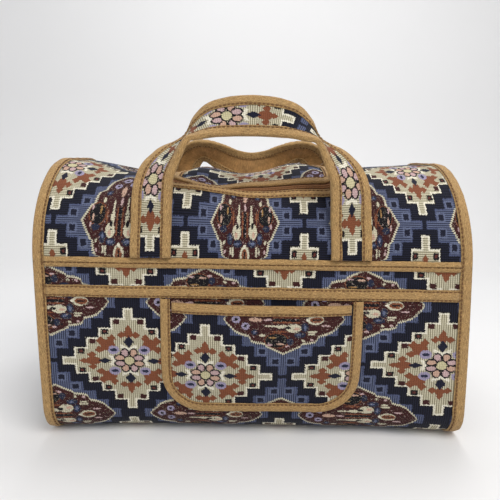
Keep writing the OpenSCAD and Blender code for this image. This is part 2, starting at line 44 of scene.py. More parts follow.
# Body sizes in millimetres, as in the part's source
BAG_LENGTH = 424.0
BAG_DEPTH = 242.0
BAG_HEIGHT = 288.0
TOP_RADIUS = 95.0
BASE_RADIUS = 36.0
WALL_SWELL = 6.0
TOP_SAG = 14.0
SAG_EASE = 0.65
RIGHT_LEAN = 14.0
BASE_DRAW = 6.0
CLOTH_T = 1.4
TAPE_T = 1.0
SEAM_GAP = 0.35
END_TAPE_W = 11.0
EDGE_TAPE_W = 10.0
SEAM_Z = 190.0
SEAM_TAPE_W = 10.0
BAND_TAPE_Z = 161.0
BAND_TAPE_W = 12.0
POCKET_X = 11.0
POCKET_W = 196.0
POCKET_LOW_Z = 33.0
POCKET_TOP_Z = 151.0
POCKET_CORNER_R = 40.0
POCKET_GAPE = 9.0
ZIP_HALF_W = 92.0
ZIP_RISE = 46.0
ZIP_CORNER_R = 20.0
ZIP_GAP_HALF = 7.0
ZIP_TAPE_W = 13.0
FLAP_SEAM_L = 42.0
FLAP_DENT = 9.0
MOUTH_LIFT_LEFT = 17.0
LEG_SPACING = 194.0
STRAP_W = 39.0
LINING_T = 0.8
FRONT_RISE = 106.0
REAR_RISE = 54.0
FRONT_LEAN = 16.0
REAR_LEAN = 10.0
LEG_LEAVES = 20.0

LIFT_RUN = 20.0
SLIDE_BELOW = 50.0
SLIDE_ABOVE = 70.0
SLIDE_FLAT = 13.0
# Below 1, the wall is fullest low down
SWELL_BEND = 0.7
# Where the sag, dent and lift lie, begin and end, as shares of what they run along
MIDDLE_FROM = 0.26
SAG_FROM = 0.15
SAG_EASES = (-0.2, 0.75)
DENT_PLACE = 0.45
LIFT_GROWS = (-0.2, 0.95)
LIFT_FADES = (1.15, 1.75)
# Soft forms of the cloth that only the scene has; each hump is [x, reach, height]
FLAP_HUMPS = ((-56.0, 26.0, 8.0), (50.0, 26.0, 5.0))
HUMP_CLEAR = 20.0
HUMP_END = 60.0
HUMP_FADE = 0.72
HUMP_SIDE = 8.0
SLACK_H = 0.55
SLACK_FADE = 40.0
SLACK_STILL = 12.0

SKIN = TAPE_T + SEAM_GAP
HALF_D = BAG_DEPTH / 2
TOP_Z = BAG_HEIGHT - SKIN
CLOTH_END_X = BAG_LENGTH / 2 - SKIN
BASE_RUN = HALF_D - BASE_RADIUS
LOW_ARC = BASE_RADIUS * math.pi / 2
WALL_RUN = TOP_Z - TOP_RADIUS - BASE_RADIUS
TOP_ARC = TOP_RADIUS * math.pi / 2
WALL_START = BASE_RUN + LOW_ARC
ARC_START = WALL_START + WALL_RUN
TOP_START = ARC_START + TOP_ARC
TOP_RUN = HALF_D - TOP_RADIUS
HALF_T = TOP_START + TOP_RUN
ZIP_T = ARC_START + math.radians(ZIP_RISE) * TOP_RADIUS + ZIP_GAP_HALF
MOUTH_X = ZIP_HALF_W + ZIP_GAP_HALF
MOUTH_T = ZIP_T - ZIP_GAP_HALF
FLAP_SEAM_T = HALF_T + FLAP_SEAM_L
ZIP_END_T = FLAP_SEAM_T - 2 * SEAM_GAP


def wall_t(z):
    return WALL_START + z - BASE_RADIUS


SEAM_T = wall_t(SEAM_Z)
BAND_T = wall_t(BAND_TAPE_Z)
POCKET_HALF = POCKET_W / 2
POCKET_LOW_T = wall_t(POCKET_LOW_Z)
POCKET_TOP_T = wall_t(POCKET_TOP_Z) - SKIN
POCKET_TAPE_END_T = BAND_T - BAND_TAPE_W / 2 - SEAM_GAP


def ramp(a, b, v):
    u = np.clip((v - a) / (b - a), 0, 1)
    return u * u * (3 - 2 * u)


# The cloth's surface: x along the bag, t along its profile from the middle of the base, up the front and over


def profile(t):
    """Place [y, z] and outward direction [y, z] on the plain profile at the length t."""
    mirrored = np.where((t < 0) | (t > HALF_T), -1.0, 1.0)
    s = from_base(t)
    low = np.clip((s - BASE_RUN) / BASE_RADIUS, 0, math.pi / 2)
    high = np.clip((s - ARC_START) / TOP_RADIUS, 0, math.pi / 2)
    y = -np.minimum(s, BASE_RUN) - BASE_RADIUS * np.sin(low) + TOP_RADIUS * (1 - np.cos(high))
    y = y + np.maximum(s - TOP_START, 0)
    z = BASE_RADIUS * (1 - np.cos(low)) + np.clip(s - WALL_START, 0, WALL_RUN) + TOP_RADIUS * np.sin(high)
    out_y = np.where(s < ARC_START, -np.sin(low), -np.cos(high))
    out_z = np.where(s < ARC_START, -np.cos(low), np.sin(high))
    return mirrored * y, z, mirrored * out_y, out_z


def from_base(t):
    return np.where(t < 0, -t, np.where(t <= HALF_T, t, 2 * HALF_T - t))


def middle(x):
    return 1 - ramp(BAG_LENGTH * MIDDLE_FROM, CLOTH_END_X, np.abs(x))


def swell(s):
    u = np.clip((s - BASE_RUN) / (TOP_START - BASE_RUN), 0, 1)
    return WALL_SWELL * np.sin(np.pi * u**SWELL_BEND)


def draw_in(x, s):
    return BASE_DRAW * middle(x) * np.sin(np.pi * np.clip((s - BASE_RUN) / (2 * LOW_ARC), 0, 1))


def dent(x, t):
    across = 1 - ramp(0, ZIP_HALF_W / 2, np.abs(x + ZIP_HALF_W * DENT_PLACE))
    along = ramp(ZIP_T - ZIP_GAP_HALF, ZIP_T, t) * (1 - ramp(ZIP_T + ZIP_GAP_HALF, HALF_T, t))
    return FLAP_DENT * across * along


def sag(x):
    eased = ramp(SAG_EASES[0] * ZIP_HALF_W, SAG_EASES[1] * ZIP_HALF_W, x)
    return TOP_SAG * middle(x) * (1 - SAG_EASE * eased)


def rise(x, s):
    at_end = ramp(CLOTH_END_X - LIFT_RUN, CLOTH_END_X - END_TAPE_W, np.abs(x))
    lift = at_end * (1 - ramp(BASE_RUN, WALL_START, s))
    return SKIN * lift - sag(x) * ramp(ARC_START + TOP_ARC * SAG_FROM, TOP_START, s)


def mouth_slide(x, t):
    """How far the cloth round the mouth has slid up towards the left handle leg."""
    left = MOUTH_LIFT_LEFT * ramp(LIFT_GROWS[0] * ZIP_HALF_W, LIFT_GROWS[1] * ZIP_HALF_W, -x)
    low = ramp(ZIP_T - SLIDE_BELOW, ZIP_T - SLIDE_FLAT, t)
    high = 1 - ramp(ZIP_T + SLIDE_FLAT, ZIP_T + SLIDE_ABOVE, t)
    faded = ramp(LIFT_FADES[0] * ZIP_HALF_W, LIFT_FADES[1] * ZIP_HALF_W, np.abs(x))
    return left * low * high * (1 - faded)


def slack(x, t):
    """Small soft waves of the cloth, still at the end seams and on the base."""
    s = from_base(t)
    waves = (
        np.sin(x / 31.0 + 1.3 * np.sin(t / 47.0)) * np.sin(t / 39.0 + 0.7)
        + 0.6 * np.sin(x / 17.0 - t / 23.0 + 2.1)
        + 0.5 * np.sin(x / 53.0 + t / 19.0)
    )
    still = ramp(CLOTH_END_X - SLACK_FADE, CLOTH_END_X - SLACK_STILL, np.abs(x))
    calm = ramp(BASE_RUN, WALL_START, s) * (1 - still)
    return SLACK_H * waves * calm


def puff(x, t):
    """Two soft humps on top of the flap, where the open zip lets the cloth stand up."""
    humps = sum(height * np.exp(-(((x - at_x) / reach) ** 2)) for at_x, reach, height in FLAP_HUMPS)
    along = ramp(ZIP_T + HUMP_CLEAR, TOP_START, t) * (1 - ramp(HALF_T + HUMP_CLEAR, HALF_T + HUMP_END, t))
    return humps * along * (1 - ramp(HUMP_FADE * ZIP_HALF_W, ZIP_HALF_W - HUMP_SIDE, np.abs(x)))


def cloth_point(x, t, h=0.0):
    """Points on the cloth's outer face at x and t, moved h outward, in millimetres."""
    x, t, h = np.broadcast_arrays(np.asarray(x, float), np.asarray(t, float), np.asarray(h, float))
    at = t + mouth_slide(x, t)
    s = from_base(at)
    y, z, out_y, out_z = profile(at)
    out = h + swell(s) - draw_in(x, s) - dent(x, t) + slack(x, t) + puff(x, t)
    z = z + out * out_z + rise(x, s)
    lean = RIGHT_LEAN * (1 - z / BAG_HEIGHT) * (np.maximum(0, x) / CLOTH_END_X) ** 2
    return np.stack([x + lean, y + out * out_y, z], axis=-1)


# Mesh building: every piece is a closed mesh with its place in its vertices
MERGE_M = 1e-6
THIN_M = 1e-7


def add_object(name, data):
    made = bpy.data.objects.new(name, data)
    bpy.context.scene.collection.objects.link(made)
    return made


def stacked(*parts):
    return np.stack(np.broadcast_arrays(*parts), axis=-1)


def spaced(a, b, step):
    return np.linspace(a, b, max(2, int(math.ceil(abs(b - a) / step)) + 1))


def path_length(points):
    return np.concatenate([[0], np.cumsum(np.linalg.norm(np.diff(points, axis=0), axis=1))])


def face_outwards(mesh, merge=False):
    """Turns a mesh's faces outwards, after closing its pole where merge is set."""
    work = bmesh.new()
    work.from_mesh(mesh)
    if merge:
        bmesh.ops.remove_doubles(work, verts=work.verts, dist=MERGE_M)
        bmesh.ops.dissolve_degenerate(work, edges=work.edges, dist=THIN_M)
    bmesh.ops.recalc_face_normals(work, faces=work.faces)
    work.to_mesh(mesh)
    work.free()
    mesh.shade_smooth()


def make_piece(name, points, faces, material, uv):
    """A smooth-shaded mesh piece from points in millimetres, riding on the bag."""
    mesh = bpy.data.meshes.new(name)
    mesh.from_pydata((points * MM).tolist(), [], faces)
    layer = mesh.uv_layers.new(name="UVMap")
    corner = np.empty(len(mesh.loops), dtype=np.int64)
    mesh.loops.foreach_get("vertex_index", corner)
    layer.data.foreach_set("uv", uv[corner].ravel())
    face_outwards(mesh)
    mesh.materials.append(material)
    piece = add_object(name, mesh)
    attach(piece, "bag")
    return piece


def shell(name, outer, inner, uv, material, is_open=None):
    """A cloth sheet between two grids of points, with the cells that is_open names left out."""
    n, m = outer.shape[:2]
    keep = np.ones((n - 1, m - 1), dtype=bool)
    if is_open is not None:
        keep &= ~is_open
    faces = []

    def at(side, i, j):
        return (side * n + i) * m + j

    def rim(i, j, k, l):
        faces.append((at(0, i, j), at(1, i, j), at(1, k, l), at(0, k, l)))

    for i, j in zip(*np.nonzero(keep)):
        i, j = int(i), int(j)
        faces.append((at(0, i, j), at(0, i + 1, j), at(0, i + 1, j + 1), at(0, i, j + 1)))
        faces.append((at(1, i, j + 1), at(1, i + 1, j + 1), at(1, i + 1, j), at(1, i, j)))
        if j == 0 or not keep[i, j - 1]:
            rim(i, j, i + 1, j)
        if j == m - 2 or not keep[i, j + 1]:
            rim(i + 1, j + 1, i, j + 1)
        if i == 0 or not keep[i - 1, j]:
            rim(i, j + 1, i, j)
        if i == n - 2 or not keep[i + 1, j]:
            rim(i + 1, j, i + 1, j + 1)
    points = np.concatenate([outer.reshape(-1, 3), inner.reshape(-1, 3)])
    used = sorted({v for f in faces for v in f})
    place = {v: k for k, v in enumerate(used)}
    faces = [tuple(place[v] for v in f) for f in faces]
    flat = np.concatenate([uv.reshape(-1, 2), uv.reshape(-1, 2)])
    return make_piece(name, points[used], faces, material, flat[used])


def swept(name, rings, material, closed=False):
    """A section swept along rings of points; its UV map runs along and round it in centimetres."""
    n, m = rings.shape[:2]
    spans = n if closed else n - 1
    faces = []
    for i in range(spans):
        a, b = i * m, (i + 1) % n * m
        for k in range(m):
            l = (k + 1) % m
            faces.append((a + k, a + l, b + l, b + k))
    if not closed:
        faces.append(tuple(range(m)))
        faces.append(tuple(range((n - 1) * m, n * m)))
    along = path_length(rings.mean(axis=1)) / CM
    around = path_length(rings[n // 2]) / CM
    uv = np.stack(np.meshgrid(along, around, indexing="ij"), axis=-1)
    return make_piece(name, rings.reshape(-1, 3), faces, material, uv.reshape(-1, 2))


# Each wave is [run, turn by the seed, height]
WOBBLE_WAVES = ((5.3, 1.0, 0.4), (9.7, 2.3, 0.4), (3.1, 3.1, 0.25))


def wobble(length, seed):
    """A slow uneven wave along a sewn tape, between about -1 and 1."""
    return sum(np.sin(length / run + turn * seed) * height for run, turn, height in WOBBLE_WAVES)


def replace_nodes(piece, slot, *names):
    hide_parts(*names)


# Materials


def srgb(red, green, blue):
    """A colour as it looks on screen, 0 to 255, as a linear shader colour."""
    parts = [v / 255 for v in (red, green, blue)]
    return [v / 12.92 if v <= 0.04045 else ((v + 0.055) / 1.055) ** 2.4 for v in parts] + [1.0]


def darker(colour, share):
    return [v * share for v in colour[:3]] + [1.0]


NAVY = srgb(28, 30, 48)
DARK_NAVY = srgb(15, 16, 27)
DEEP_BLUE = srgb(40, 45, 67)
BLUE = srgb(80, 88, 119)
PALE_BLUE = srgb(101, 109, 137)
CREAM = srgb(210, 203, 178)
BRIGHT_CREAM = srgb(236, 230, 211)
OLIVE = srgb(146, 138, 112)
MAROON = srgb(64, 30, 30)
BLACK = srgb(22, 19, 24)
BROWN = srgb(132, 78, 53)
RUST = srgb(98, 50, 44)
PINK = srgb(198, 168, 168)
PEACH = srgb(202, 166, 146)
SAGE = srgb(206, 197, 158)
LILAC = srgb(160, 151, 178)
TAN = srgb(162, 126, 78)
DARK_TAN = srgb(90, 63, 35)
PALE_TAN = srgb(214, 178, 122)


class Field:
    """A number that varies over a surface, built up from shader math nodes."""

    def __init__(self, tree, socket):
        self.tree = tree
        self.socket = socket

    def math(self, operation, *others):
        node = self.tree.nodes.new("ShaderNodeMath")
        node.operation = operation
        for slot, value in enumerate((self, *others)):
            if isinstance(value, Field):
                self.tree.links.new(value.socket, node.inputs[slot])
            else:
                node.inputs[slot].default_value = value
        return Field(self.tree, node.outputs[0])

    def __add__(self, other):
        return self.math("ADD", other)

    def __sub__(self, other):
        return self.math("SUBTRACT", other)

    def __mul__(self, other):
        return self.math("MULTIPLY", other)

    def __lt__(self, other):
        return self.math("LESS_THAN", other)

    def __gt__(self, other):
        return self.math("GREATER_THAN", other)

    def scaled(self, factor, offset):
        return self.math("MULTIPLY_ADD", factor, offset)

    def size(self):
        return self.math("ABSOLUTE")

    def wave(self, period, low, high):
        """A sine of that period, between low and high."""
        swing = self.math("MULTIPLY", 2 * math.pi / period).math("SINE")
        return swing.scaled((high - low) / 2, (high + low) / 2)


def new_material(name):
    material = bpy.data.materials.new(name)
    material.use_nodes = True
    tree = material.node_tree
    return material, tree, tree.nodes["Principled BSDF"]


def set_inputs(node, values):
    for name, value in values.items():
        node.inputs[name].default_value = value


def uv_socket(tree):
    node = tree.nodes.new("ShaderNodeUVMap")
    node.uv_map = "UVMap"
    return node.outputs["UV"]


def object_socket(tree):
    return tree.nodes.new("ShaderNodeTexCoord").outputs["Object"]


def split_fields(tree, socket):
    """The first two parts of a vector socket, as fields."""
    node = tree.nodes.new("ShaderNodeSeparateXYZ")
    tree.links.new(socket, node.inputs["Vector"])
    return Field(tree, node.outputs["X"]), Field(tree, node.outputs["Y"])


def add_noise(tree, source, scale, detail, stretch=(1, 1, 1)):
    """A noise texture on a coordinate socket, stretched along its axes."""
    mapping = tree.nodes.new("ShaderNodeMapping")
    set_inputs(mapping, {"Scale": stretch})
    texture = tree.nodes.new("ShaderNodeTexNoise")
    set_inputs(texture, {"Scale": scale, "Detail": detail})
    tree.links.new(source, mapping.inputs["Vector"])
    tree.links.new(mapping.outputs["Vector"], texture.inputs["Vector"])
    return Field(tree, texture.outputs["Fac"])


def add_mix(tree, factor, first, second, blend="MIX"):
    """Mixes two colours; each is a colour value or a socket."""
    node = tree.nodes.new("ShaderNodeMix")
    node.data_type = "RGBA"
    node.blend_type = blend
    for name, value in (("Factor_Float", factor), ("A_Color", first), ("B_Color", second)):
        socket = next(s for s in node.inputs if s.identifier == name)
        if isinstance(value, Field):
            tree.links.new(value.socket, socket)
        elif hasattr(value, "is_linked"):
            tree.links.new(value, socket)
        else:
            socket.default_value = value
    return next(s for s in node.outputs if s.identifier == "Result_Color")


def shade(tree, shader, colour, brightness):
    """Multiplies a colour socket by a brightness field and gives it to the shader."""
    node = tree.nodes.new("ShaderNodeVectorMath")
    node.operation = "SCALE"
    tree.links.new(colour, node.inputs[0])
    tree.links.new(brightness.socket, node.inputs["Scale"])
    tree.links.new(node.outputs["Vector"], shader.inputs["Base Color"])


def add_bump(tree, shader, height, strength, distance):
    node = tree.nodes.new("ShaderNodeBump")
    set_inputs(node, {"Strength": strength, "Distance": distance})
    tree.links.new(height.socket, node.inputs["Height"])
    tree.links.new(node.outputs["Normal"], shader.inputs["Normal"])


# The carpet's repeat: a cream stepped diamond at the middle of the cell and a maroon medallion at its
# corners, in units of about a millimetre
REPEAT_P = 157.0
REPEAT_Q = 119.0
RIB_PERIOD = 2.1
ROW_PERIOD = 1.9
WEAVE_CELL = (0.65, 0.5)
RAGGED = (2.4, -2.0)
# Stepped outlines, each [top, tread, riser, back]
BLUE_STAIRS = (57.4, 12.3, 10.3, 8.0)
BLUE_RIM = (1.5, 1.3)
DARK_STAIRS = (54.3, 12.7, 9.84, 6.7)
CREAM_STAIRS = (53.3, 12.7, 9.84, 7.7)
CREAM_RIM = (1.9, 1.7)
BLUE_BOXES = ((21.2, 31.6), (7.6, 42.0))
BLUE_BOX_HALF = (4.8, 4.2)
BLUE_BOX_HOLE = (3.2, 2.6)
MEDALLION_RIM = 1.8
PICKS_IN = 3.4
PINK_PICKS = 0.72
BLACK_PICKS = 0.33
CREAM_PICKS = 0.62
CREAM_PICKS_HALF = 0.005
# Pale bars beside the rosette, each [slope, start, half width, reach]
CHEVRONS = ((0.43, 11.8, 1.7, 8.6), (0.6, 15.7, 2.0, 5.4))
# Rosette petals, each [middle, half size, colour, colour in the odd quarters]
PETALS = (
    ((4.5, 8.2), (3.2, 3.6), PEACH, PINK),
    ((9.8, 3.1), (4.5, 2.5), PINK, PEACH),
)
PETAL_RIM = 1.5
ROSETTE_DARK = (6.2, 5.4)
ROSETTE_HEART = (5.0, 4.3)
# Each mark is [form, middle, half size, colour]
DIAMOND_MARKS = [
    ("box", (12.0, 39.9), (3.2, 2.5), MAROON),
    ("box", (23.8, 29.9), (3.4, 2.7), BLACK),
    ("box", (23.8, 29.9), (1.5, 1.1), RUST),
    ("box", (36.5, 20.1), (3.2, 2.5), MAROON),
    ("box", (48.9, 10.1), (3.4, 2.7), BLACK),
    ("box", (48.9, 10.1), (1.5, 1.1), RUST),
    ("oval", (0.0, 28.0), (4.4, 4.2), BROWN),
    ("kite", (0.0, 32.0), (3.6, 4.8), BROWN),
    ("kite", (7.2, 26.5), (4.8, 3.6), BROWN),
    ("oval", (37.0, 0.0), (8.6, 4.2), BROWN),
    ("kite", (46.0, 0.0), (5.6, 3.0), BROWN),
    ("kite", (38.0, 6.4), (5.0, 3.8), BROWN),
    ("oval", (21.5, 16.5), (7.4, 5.8), BROWN),
    ("kite", (28.2, 20.6), (5.2, 4.8), BROWN),
    ("kite", (17.2, 23.0), (4.6, 4.6), BROWN),
    ("kite", (30.0, 11.6), (5.4, 3.8), BROWN),
    ("kite", (0.0, 19.5), (5.4, 6.3), NAVY),
    ("kite", (25.2, 0.0), (7.2, 3.2), NAVY),
    ("oval", (15.7, 11.3), (5.9, 4.5), LILAC),
    ("oval", (15.7, 11.3), (3.5, 1.7), DEEP_BLUE),
]
MEDALLION_MARKS = [
    ("oval", (-7.0, 20.5), (12.2, 7.8), BROWN),
    ("oval", (-7.0, 20.5), (11.4, 7.1), BLACK),
    ("oval", (-3.0, 24.0), (4.0, 0.9), PEACH),
    ("oval", (-11.0, 17.5), (4.5, 0.8), TAN),
    ("oval", (6.5, 21.3), (3.4, 3.6), DEEP_BLUE),
    ("oval", (4.0, 26.0), (2.4, 1.0), PINK),
    ("oval", (-14.0, 25.0), (3.0, 0.9), PINK),
    ("kite", (-4.0, 11.5), (10.0, 1.1), BROWN),
    ("box", (2.0, 2.4), (13.0, 0.6), BROWN),
    ("box", (2.0, 0.0), (13.0, 1.4), BLACK),
    ("kite", (-16.0, 0.0), (5.0, 1.4), PINK),
    ("box", (-12.0, 6.2), (7.0, 0.7), CREAM),
    ("oval", (-2.0, 6.4), (7.0, 1.7), CREAM),
    ("oval", (9.5, 8.0), (7.5, 4.2), CREAM),
    ("oval", (3.5, 7.4), (3.2, 1.4), BLACK),
    ("oval", (12.5, 8.6), (3.0, 1.5), PEACH),
    ("oval", (16.0, 14.8), (5.8, 3.0), DEEP_BLUE),
    ("oval", (15.0, 14.6), (2.6, 1.1), PALE_BLUE),
    ("oval", (20.5, 7.2), (3.6, 4.6), DEEP_BLUE),
    ("oval", (20.5, 7.6), (1.5, 2.4), PALE_BLUE),
    ("oval", (31.0, 0.0), (8.2, 4.7), CREAM),
    ("oval", (32.0, 0.0), (6.6, 3.0), BROWN),
    ("box", (32.0, 0.0), (4.6, 0.7), BLACK),
    ("kite", (22.8, 0.0), (2.2, 1.4), BRIGHT_CREAM),
    ("box", (28.0, 11.8), (4.4, 0.8), CREAM),
    ("box", (27.5, 14.2), (3.4, 0.8), CREAM),
    ("oval", (19.5, 20.4), (1.7, 1.1), CREAM),
    ("oval", (28.0, 19.8), (1.7, 1.1), PINK),
    ("oval", (41.0, 6.0), (4.2, 0.9), PINK),
    ("oval", (-21.0, 15.5), (3.2, 1.3), CREAM),
    ("oval", (-28.0, 0.0), (6.5, 2.2), PEACH),
    ("oval", (-38.0, 6.6), (4.0, 3.4), LILAC),
    ("oval", (-38.0, 6.6), (1.6, 1.4), BLACK),
    ("oval", (-47.5, 0.0), (4.2, 3.8), LILAC),
    ("oval", (-47.5, 0.0), (1.7, 1.6), BLACK),
    ("oval", (-29.0, 12.5), (3.2, 2.8), DEEP_BLUE),
    ("oval", (-29.0, 12.5), (1.4, 1.2), PALE_BLUE),
]
MEDALLION_EDGE = [
    (0, 34.8), (9, 30.6), (17.4, 27.0), (18.6, 24.6), (26, 24.0), (32, 22.4),
    (34.6, 17.2), (42, 15.6), (48, 13.0), (57, 4.5), (60, 0),
]
EDGE_SPAN = 60.0


def form_mask(form, a, b, middle_at, half):
    """1 inside a box, an oval or a kite (a diamond) about a point, else 0."""
    da = a.scaled(1 / half[0], -middle_at[0] / half[0])
    db = b.scaled(1 / half[1], -middle_at[1] / half[1])
    if form == "box":
        return da.size().math("MAXIMUM", db.size()) < 1
    if form == "kite":
        return da.size() + db.size() < 1
    return db.math("MULTIPLY", db) + da.math("MULTIPLY", da) < 1


def stairs(a, b, top, tread, riser, back):
    """1 inside a stepped diamond: each riser lower in b widens it by one tread in a."""
    step = b.scaled(-1 / riser, top / riser).math("CEIL")
    return a < step.scaled(tread, -back)


def carpet_material():
    material, tree, shader = new_material("carpet_cloth")
    uv = uv_socket(tree)
    along, up = split_fields(tree, uv)
    along = along * REPEAT_P
    up = up * REPEAT_Q
    ribs = along.wave(RIB_PERIOD, 0.0, 1.0)
    rows = up.wave(ROW_PERIOD, 0.0, 1.0)
    # The weave's cells make every edge a little ragged
    ragged = add_noise(tree, uv, scale=95.0, detail=0.0)
    along = along.math("SNAP", WEAVE_CELL[0]) + ragged.scaled(RAGGED[0], -RAGGED[0] / 2)
    up = up.math("SNAP", WEAVE_CELL[1]) + ragged.scaled(RAGGED[1], -RAGGED[1] / 2)
    signed_a = along.math("WRAP", REPEAT_P / 2, -REPEAT_P / 2)
    signed_b = up.math("WRAP", REPEAT_Q / 2, -REPEAT_Q / 2)
    a = signed_a.size()
    b = signed_b.size()
    far_a = a.scaled(-1, REPEAT_P / 2)
    medallion_a = along.scaled(1, REPEAT_P / 2).math("WRAP", REPEAT_P / 2, -REPEAT_P / 2)
    far_b = b.scaled(-1, REPEAT_Q / 2)

    colour = add_mix(tree, ribs, DARK_NAVY, NAVY)

    def paint(mask, paint_colour):
        nonlocal colour
        colour = add_mix(tree, mask, colour, paint_colour)

    # Blue stepped field round the medallion, ribbed light and dark
    blue_ribs = add_mix(tree, ribs, DEEP_BLUE, PALE_BLUE)
    paint(stairs(far_a, far_b, *BLUE_STAIRS), BLUE)
    paint(stairs(far_a + BLUE_RIM[0], far_b + BLUE_RIM[1], *BLUE_STAIRS), blue_ribs)
    for middle_at in BLUE_BOXES:
        paint(form_mask("box", far_a, far_b, middle_at, BLUE_BOX_HALF), PALE_BLUE)
        paint(form_mask("box", far_a, far_b, middle_at, BLUE_BOX_HOLE), NAVY)

    # Medallion
    edge = tree.nodes.new("ShaderNodeFloatCurve")
    curve = edge.mapping.curves[0]
    curve.points[0].location = (0.0, MEDALLION_EDGE[0][1] / EDGE_SPAN)
    curve.points[1].location = (1.0, 0.0)
    for place, height in MEDALLION_EDGE[1:-1]:
        curve.points.new(place / EDGE_SPAN, height / EDGE_SPAN)
    for point in curve.points:
        point.handle_type = "VECTOR"
    edge.mapping.update()
    tree.links.new(far_a.scaled(1 / EDGE_SPAN, 0).socket, edge.inputs["Value"])
    inside = Field(tree, edge.outputs["Value"]) * EDGE_SPAN - far_b + ribs.scaled(1.2, -0.6)
    paint(inside > 0.0, CREAM)
    paint(inside > MEDALLION_RIM, MAROON)
    for form, middle_at, half, mark_colour in MEDALLION_MARKS:
        paint(form_mask(form, medallion_a, far_b, middle_at, half), mark_colour)
    # Small stray picks of other yarns all over the medallion
    fleck = add_noise(tree, uv, scale=60.0, detail=1.0)
    picks = inside > PICKS_IN
    paint(picks * (fleck > PINK_PICKS), PINK)
    paint(picks * (fleck < BLACK_PICKS), BLACK)
    paint(picks * (fleck.scaled(1, -CREAM_PICKS).size() < CREAM_PICKS_HALF), CREAM)

    # Cream stepped diamond
    paint(stairs(a, b, *DARK_STAIRS), BLACK)
    paint(stairs(a, b, *CREAM_STAIRS), BRIGHT_CREAM)
    cream_ribs = add_mix(tree, ribs, OLIVE, CREAM)
    paint(stairs(a + CREAM_RIM[0], b + CREAM_RIM[1], *CREAM_STAIRS), cream_ribs)
    for form, middle_at, half, mark_colour in DIAMOND_MARKS:
        paint(form_mask(form, a, b, middle_at, half), mark_colour)
    for (slope, start, half, reach), near, far in zip(CHEVRONS, (a, b), (b, a)):
        bar = (far - near.scaled(slope, start)).size() < half
        paint(bar * (near < reach), BRIGHT_CREAM)

    # Rosette: two colours of petal change places from quarter to quarter
    odd = signed_a.math("MULTIPLY", signed_b) < 0
    for middle_at, half, first, second in PETALS:
        rim = tuple(v + PETAL_RIM for v in half)
        paint(form_mask("oval", a, b, middle_at, rim), BLACK)
        petal = form_mask("oval", a, b, middle_at, half)
        paint(petal, first)
        paint(petal * odd, second)
    paint(form_mask("oval", a, b, (0, 0), ROSETTE_DARK), BLACK)
    paint(form_mask("oval", a, b, (0, 0), ROSETTE_HEART), SAGE)

    # Yarn: uneven dye, painted shade darkening the furrows between the ribs and rows, and a dry sheen
    dye = add_noise(tree, uv, scale=9.0, detail=3.0)
    yarn = add_noise(tree, uv, scale=130.0, detail=1.0, stretch=(1, 3, 1))
    # Painted shade: the colour darkens in the furrows between the ribs and rows
    weave_shade = ribs * 0.2 + rows.scaled(0.14, 0.42)
    shade(tree, shader, colour, weave_shade + dye.scaled(0.3, -0.15) + yarn.scaled(0.8, -0.17))
    height = ribs * 0.7 + rows.scaled(0.3, 0) + yarn.scaled(0.8, 0)
    add_bump(tree, shader, height, strength=0.55, distance=0.0007)
    set_inputs(shader, {"Roughness": 0.92, "Specular IOR Level": 0.15})
    set_inputs(shader, {"Sheen Weight": 0.05, "Sheen Roughness": 0.6})
    return material


TAPE_RIB_CM = 0.11


def tape_material(name, dark, main, pale):
    """Woven cotton tape: fine cross ribs with painted shade between them, soft streaks along it and rubbed
    paler patches.
    """
    material, tree, shader = new_material(name)
    uv = uv_socket(tree)
    ribs = split_fields(tree, uv)[0].wave(TAPE_RIB_CM, 0.0, 1.0)
    streak = add_noise(tree, uv, scale=6.0, detail=3.0, stretch=(0.35, 3.0, 1))
    patch = add_noise(tree, uv, scale=1.1, detail=3.0)
    slub = add_noise(tree, uv, scale=9.0, detail=1.0, stretch=(1.0, 1.4, 1))
    colour = add_mix(tree, streak.scaled(2.4, -0.7).math("MAXIMUM", 0.0), dark, pale)
    colour = add_mix(tree, patch.scaled(0.9, -0.05), colour, main)
    # Painted shade: the cross ribs darken the colour between them
    shade(tree, shader, colour, ribs.scaled(0.2, 0.4) + patch.scaled(0.5, -0.25) + slub.scaled(1.6, -0.3))
    height = ribs + streak.scaled(1.5, 0) + slub.scaled(1.2, 0)
    add_bump(tree, shader, height, strength=0.5, distance=0.0005)
    set_inputs(shader, {"Roughness": 0.8, "Specular IOR Level": 0.25, "Sheen Weight": 0.1})
    return material


def lining_material():
    """Tan leathercloth with a fine grain and creases across the strap; its colour is painted dark in the
    crease hollows as shade and light on their ridges, and its patchy brightness is partly painted light and
    shade.
    """
    material, tree, shader = new_material("handle_lining")
    uv = uv_socket(tree)
    grain = add_noise(tree, uv, scale=26.0, detail=2.0)
    crease_and_shade = add_noise(tree, uv, scale=3.2, detail=3.0, stretch=(2.4, 0.5, 1))
    patch = add_noise(tree, uv, scale=0.8, detail=2.0)
    # Painted shade: the colour is dark brown in the crease hollows and light tan on their ridges
    colour = add_mix(tree, crease_and_shade, srgb(112, 78, 44), srgb(212, 164, 104))
    # Patchy brightness: partly random tone, partly painted light and shade
    shade(tree, shader, colour, patch.scaled(1.1, 0.45))
    add_bump(tree, shader, grain.scaled(0.35, 0) + crease_and_shade.scaled(1.6, 0), strength=0.5, distance=0.001)
    set_inputs(shader, {"Roughness": 0.5, "Specular IOR Level": 0.4})
    return material


def metal_material(name, colour, roughness):
    """Aged metal: dull patches on the whole and fine rubbed scratches."""
    material, tree, shader = new_material(name)
    place = object_socket(tree)
    patch = add_noise(tree, place, scale=220.0, detail=3.0)
    scratch = add_noise(tree, place, scale=900.0, detail=2.0, stretch=(0.2, 2, 1))
    worn = add_mix(tree, patch, darker(colour, 0.55), colour)
    tree.links.new(worn, shader.inputs["Base Color"])
    tree.links.new(patch.scaled(0.3, roughness - 0.15).socket, shader.inputs["Roughness"])
    add_bump(tree, shader, scratch, strength=0.2, distance=0.0002)
    set_inputs(shader, {"Metallic": 1.0})
    return material


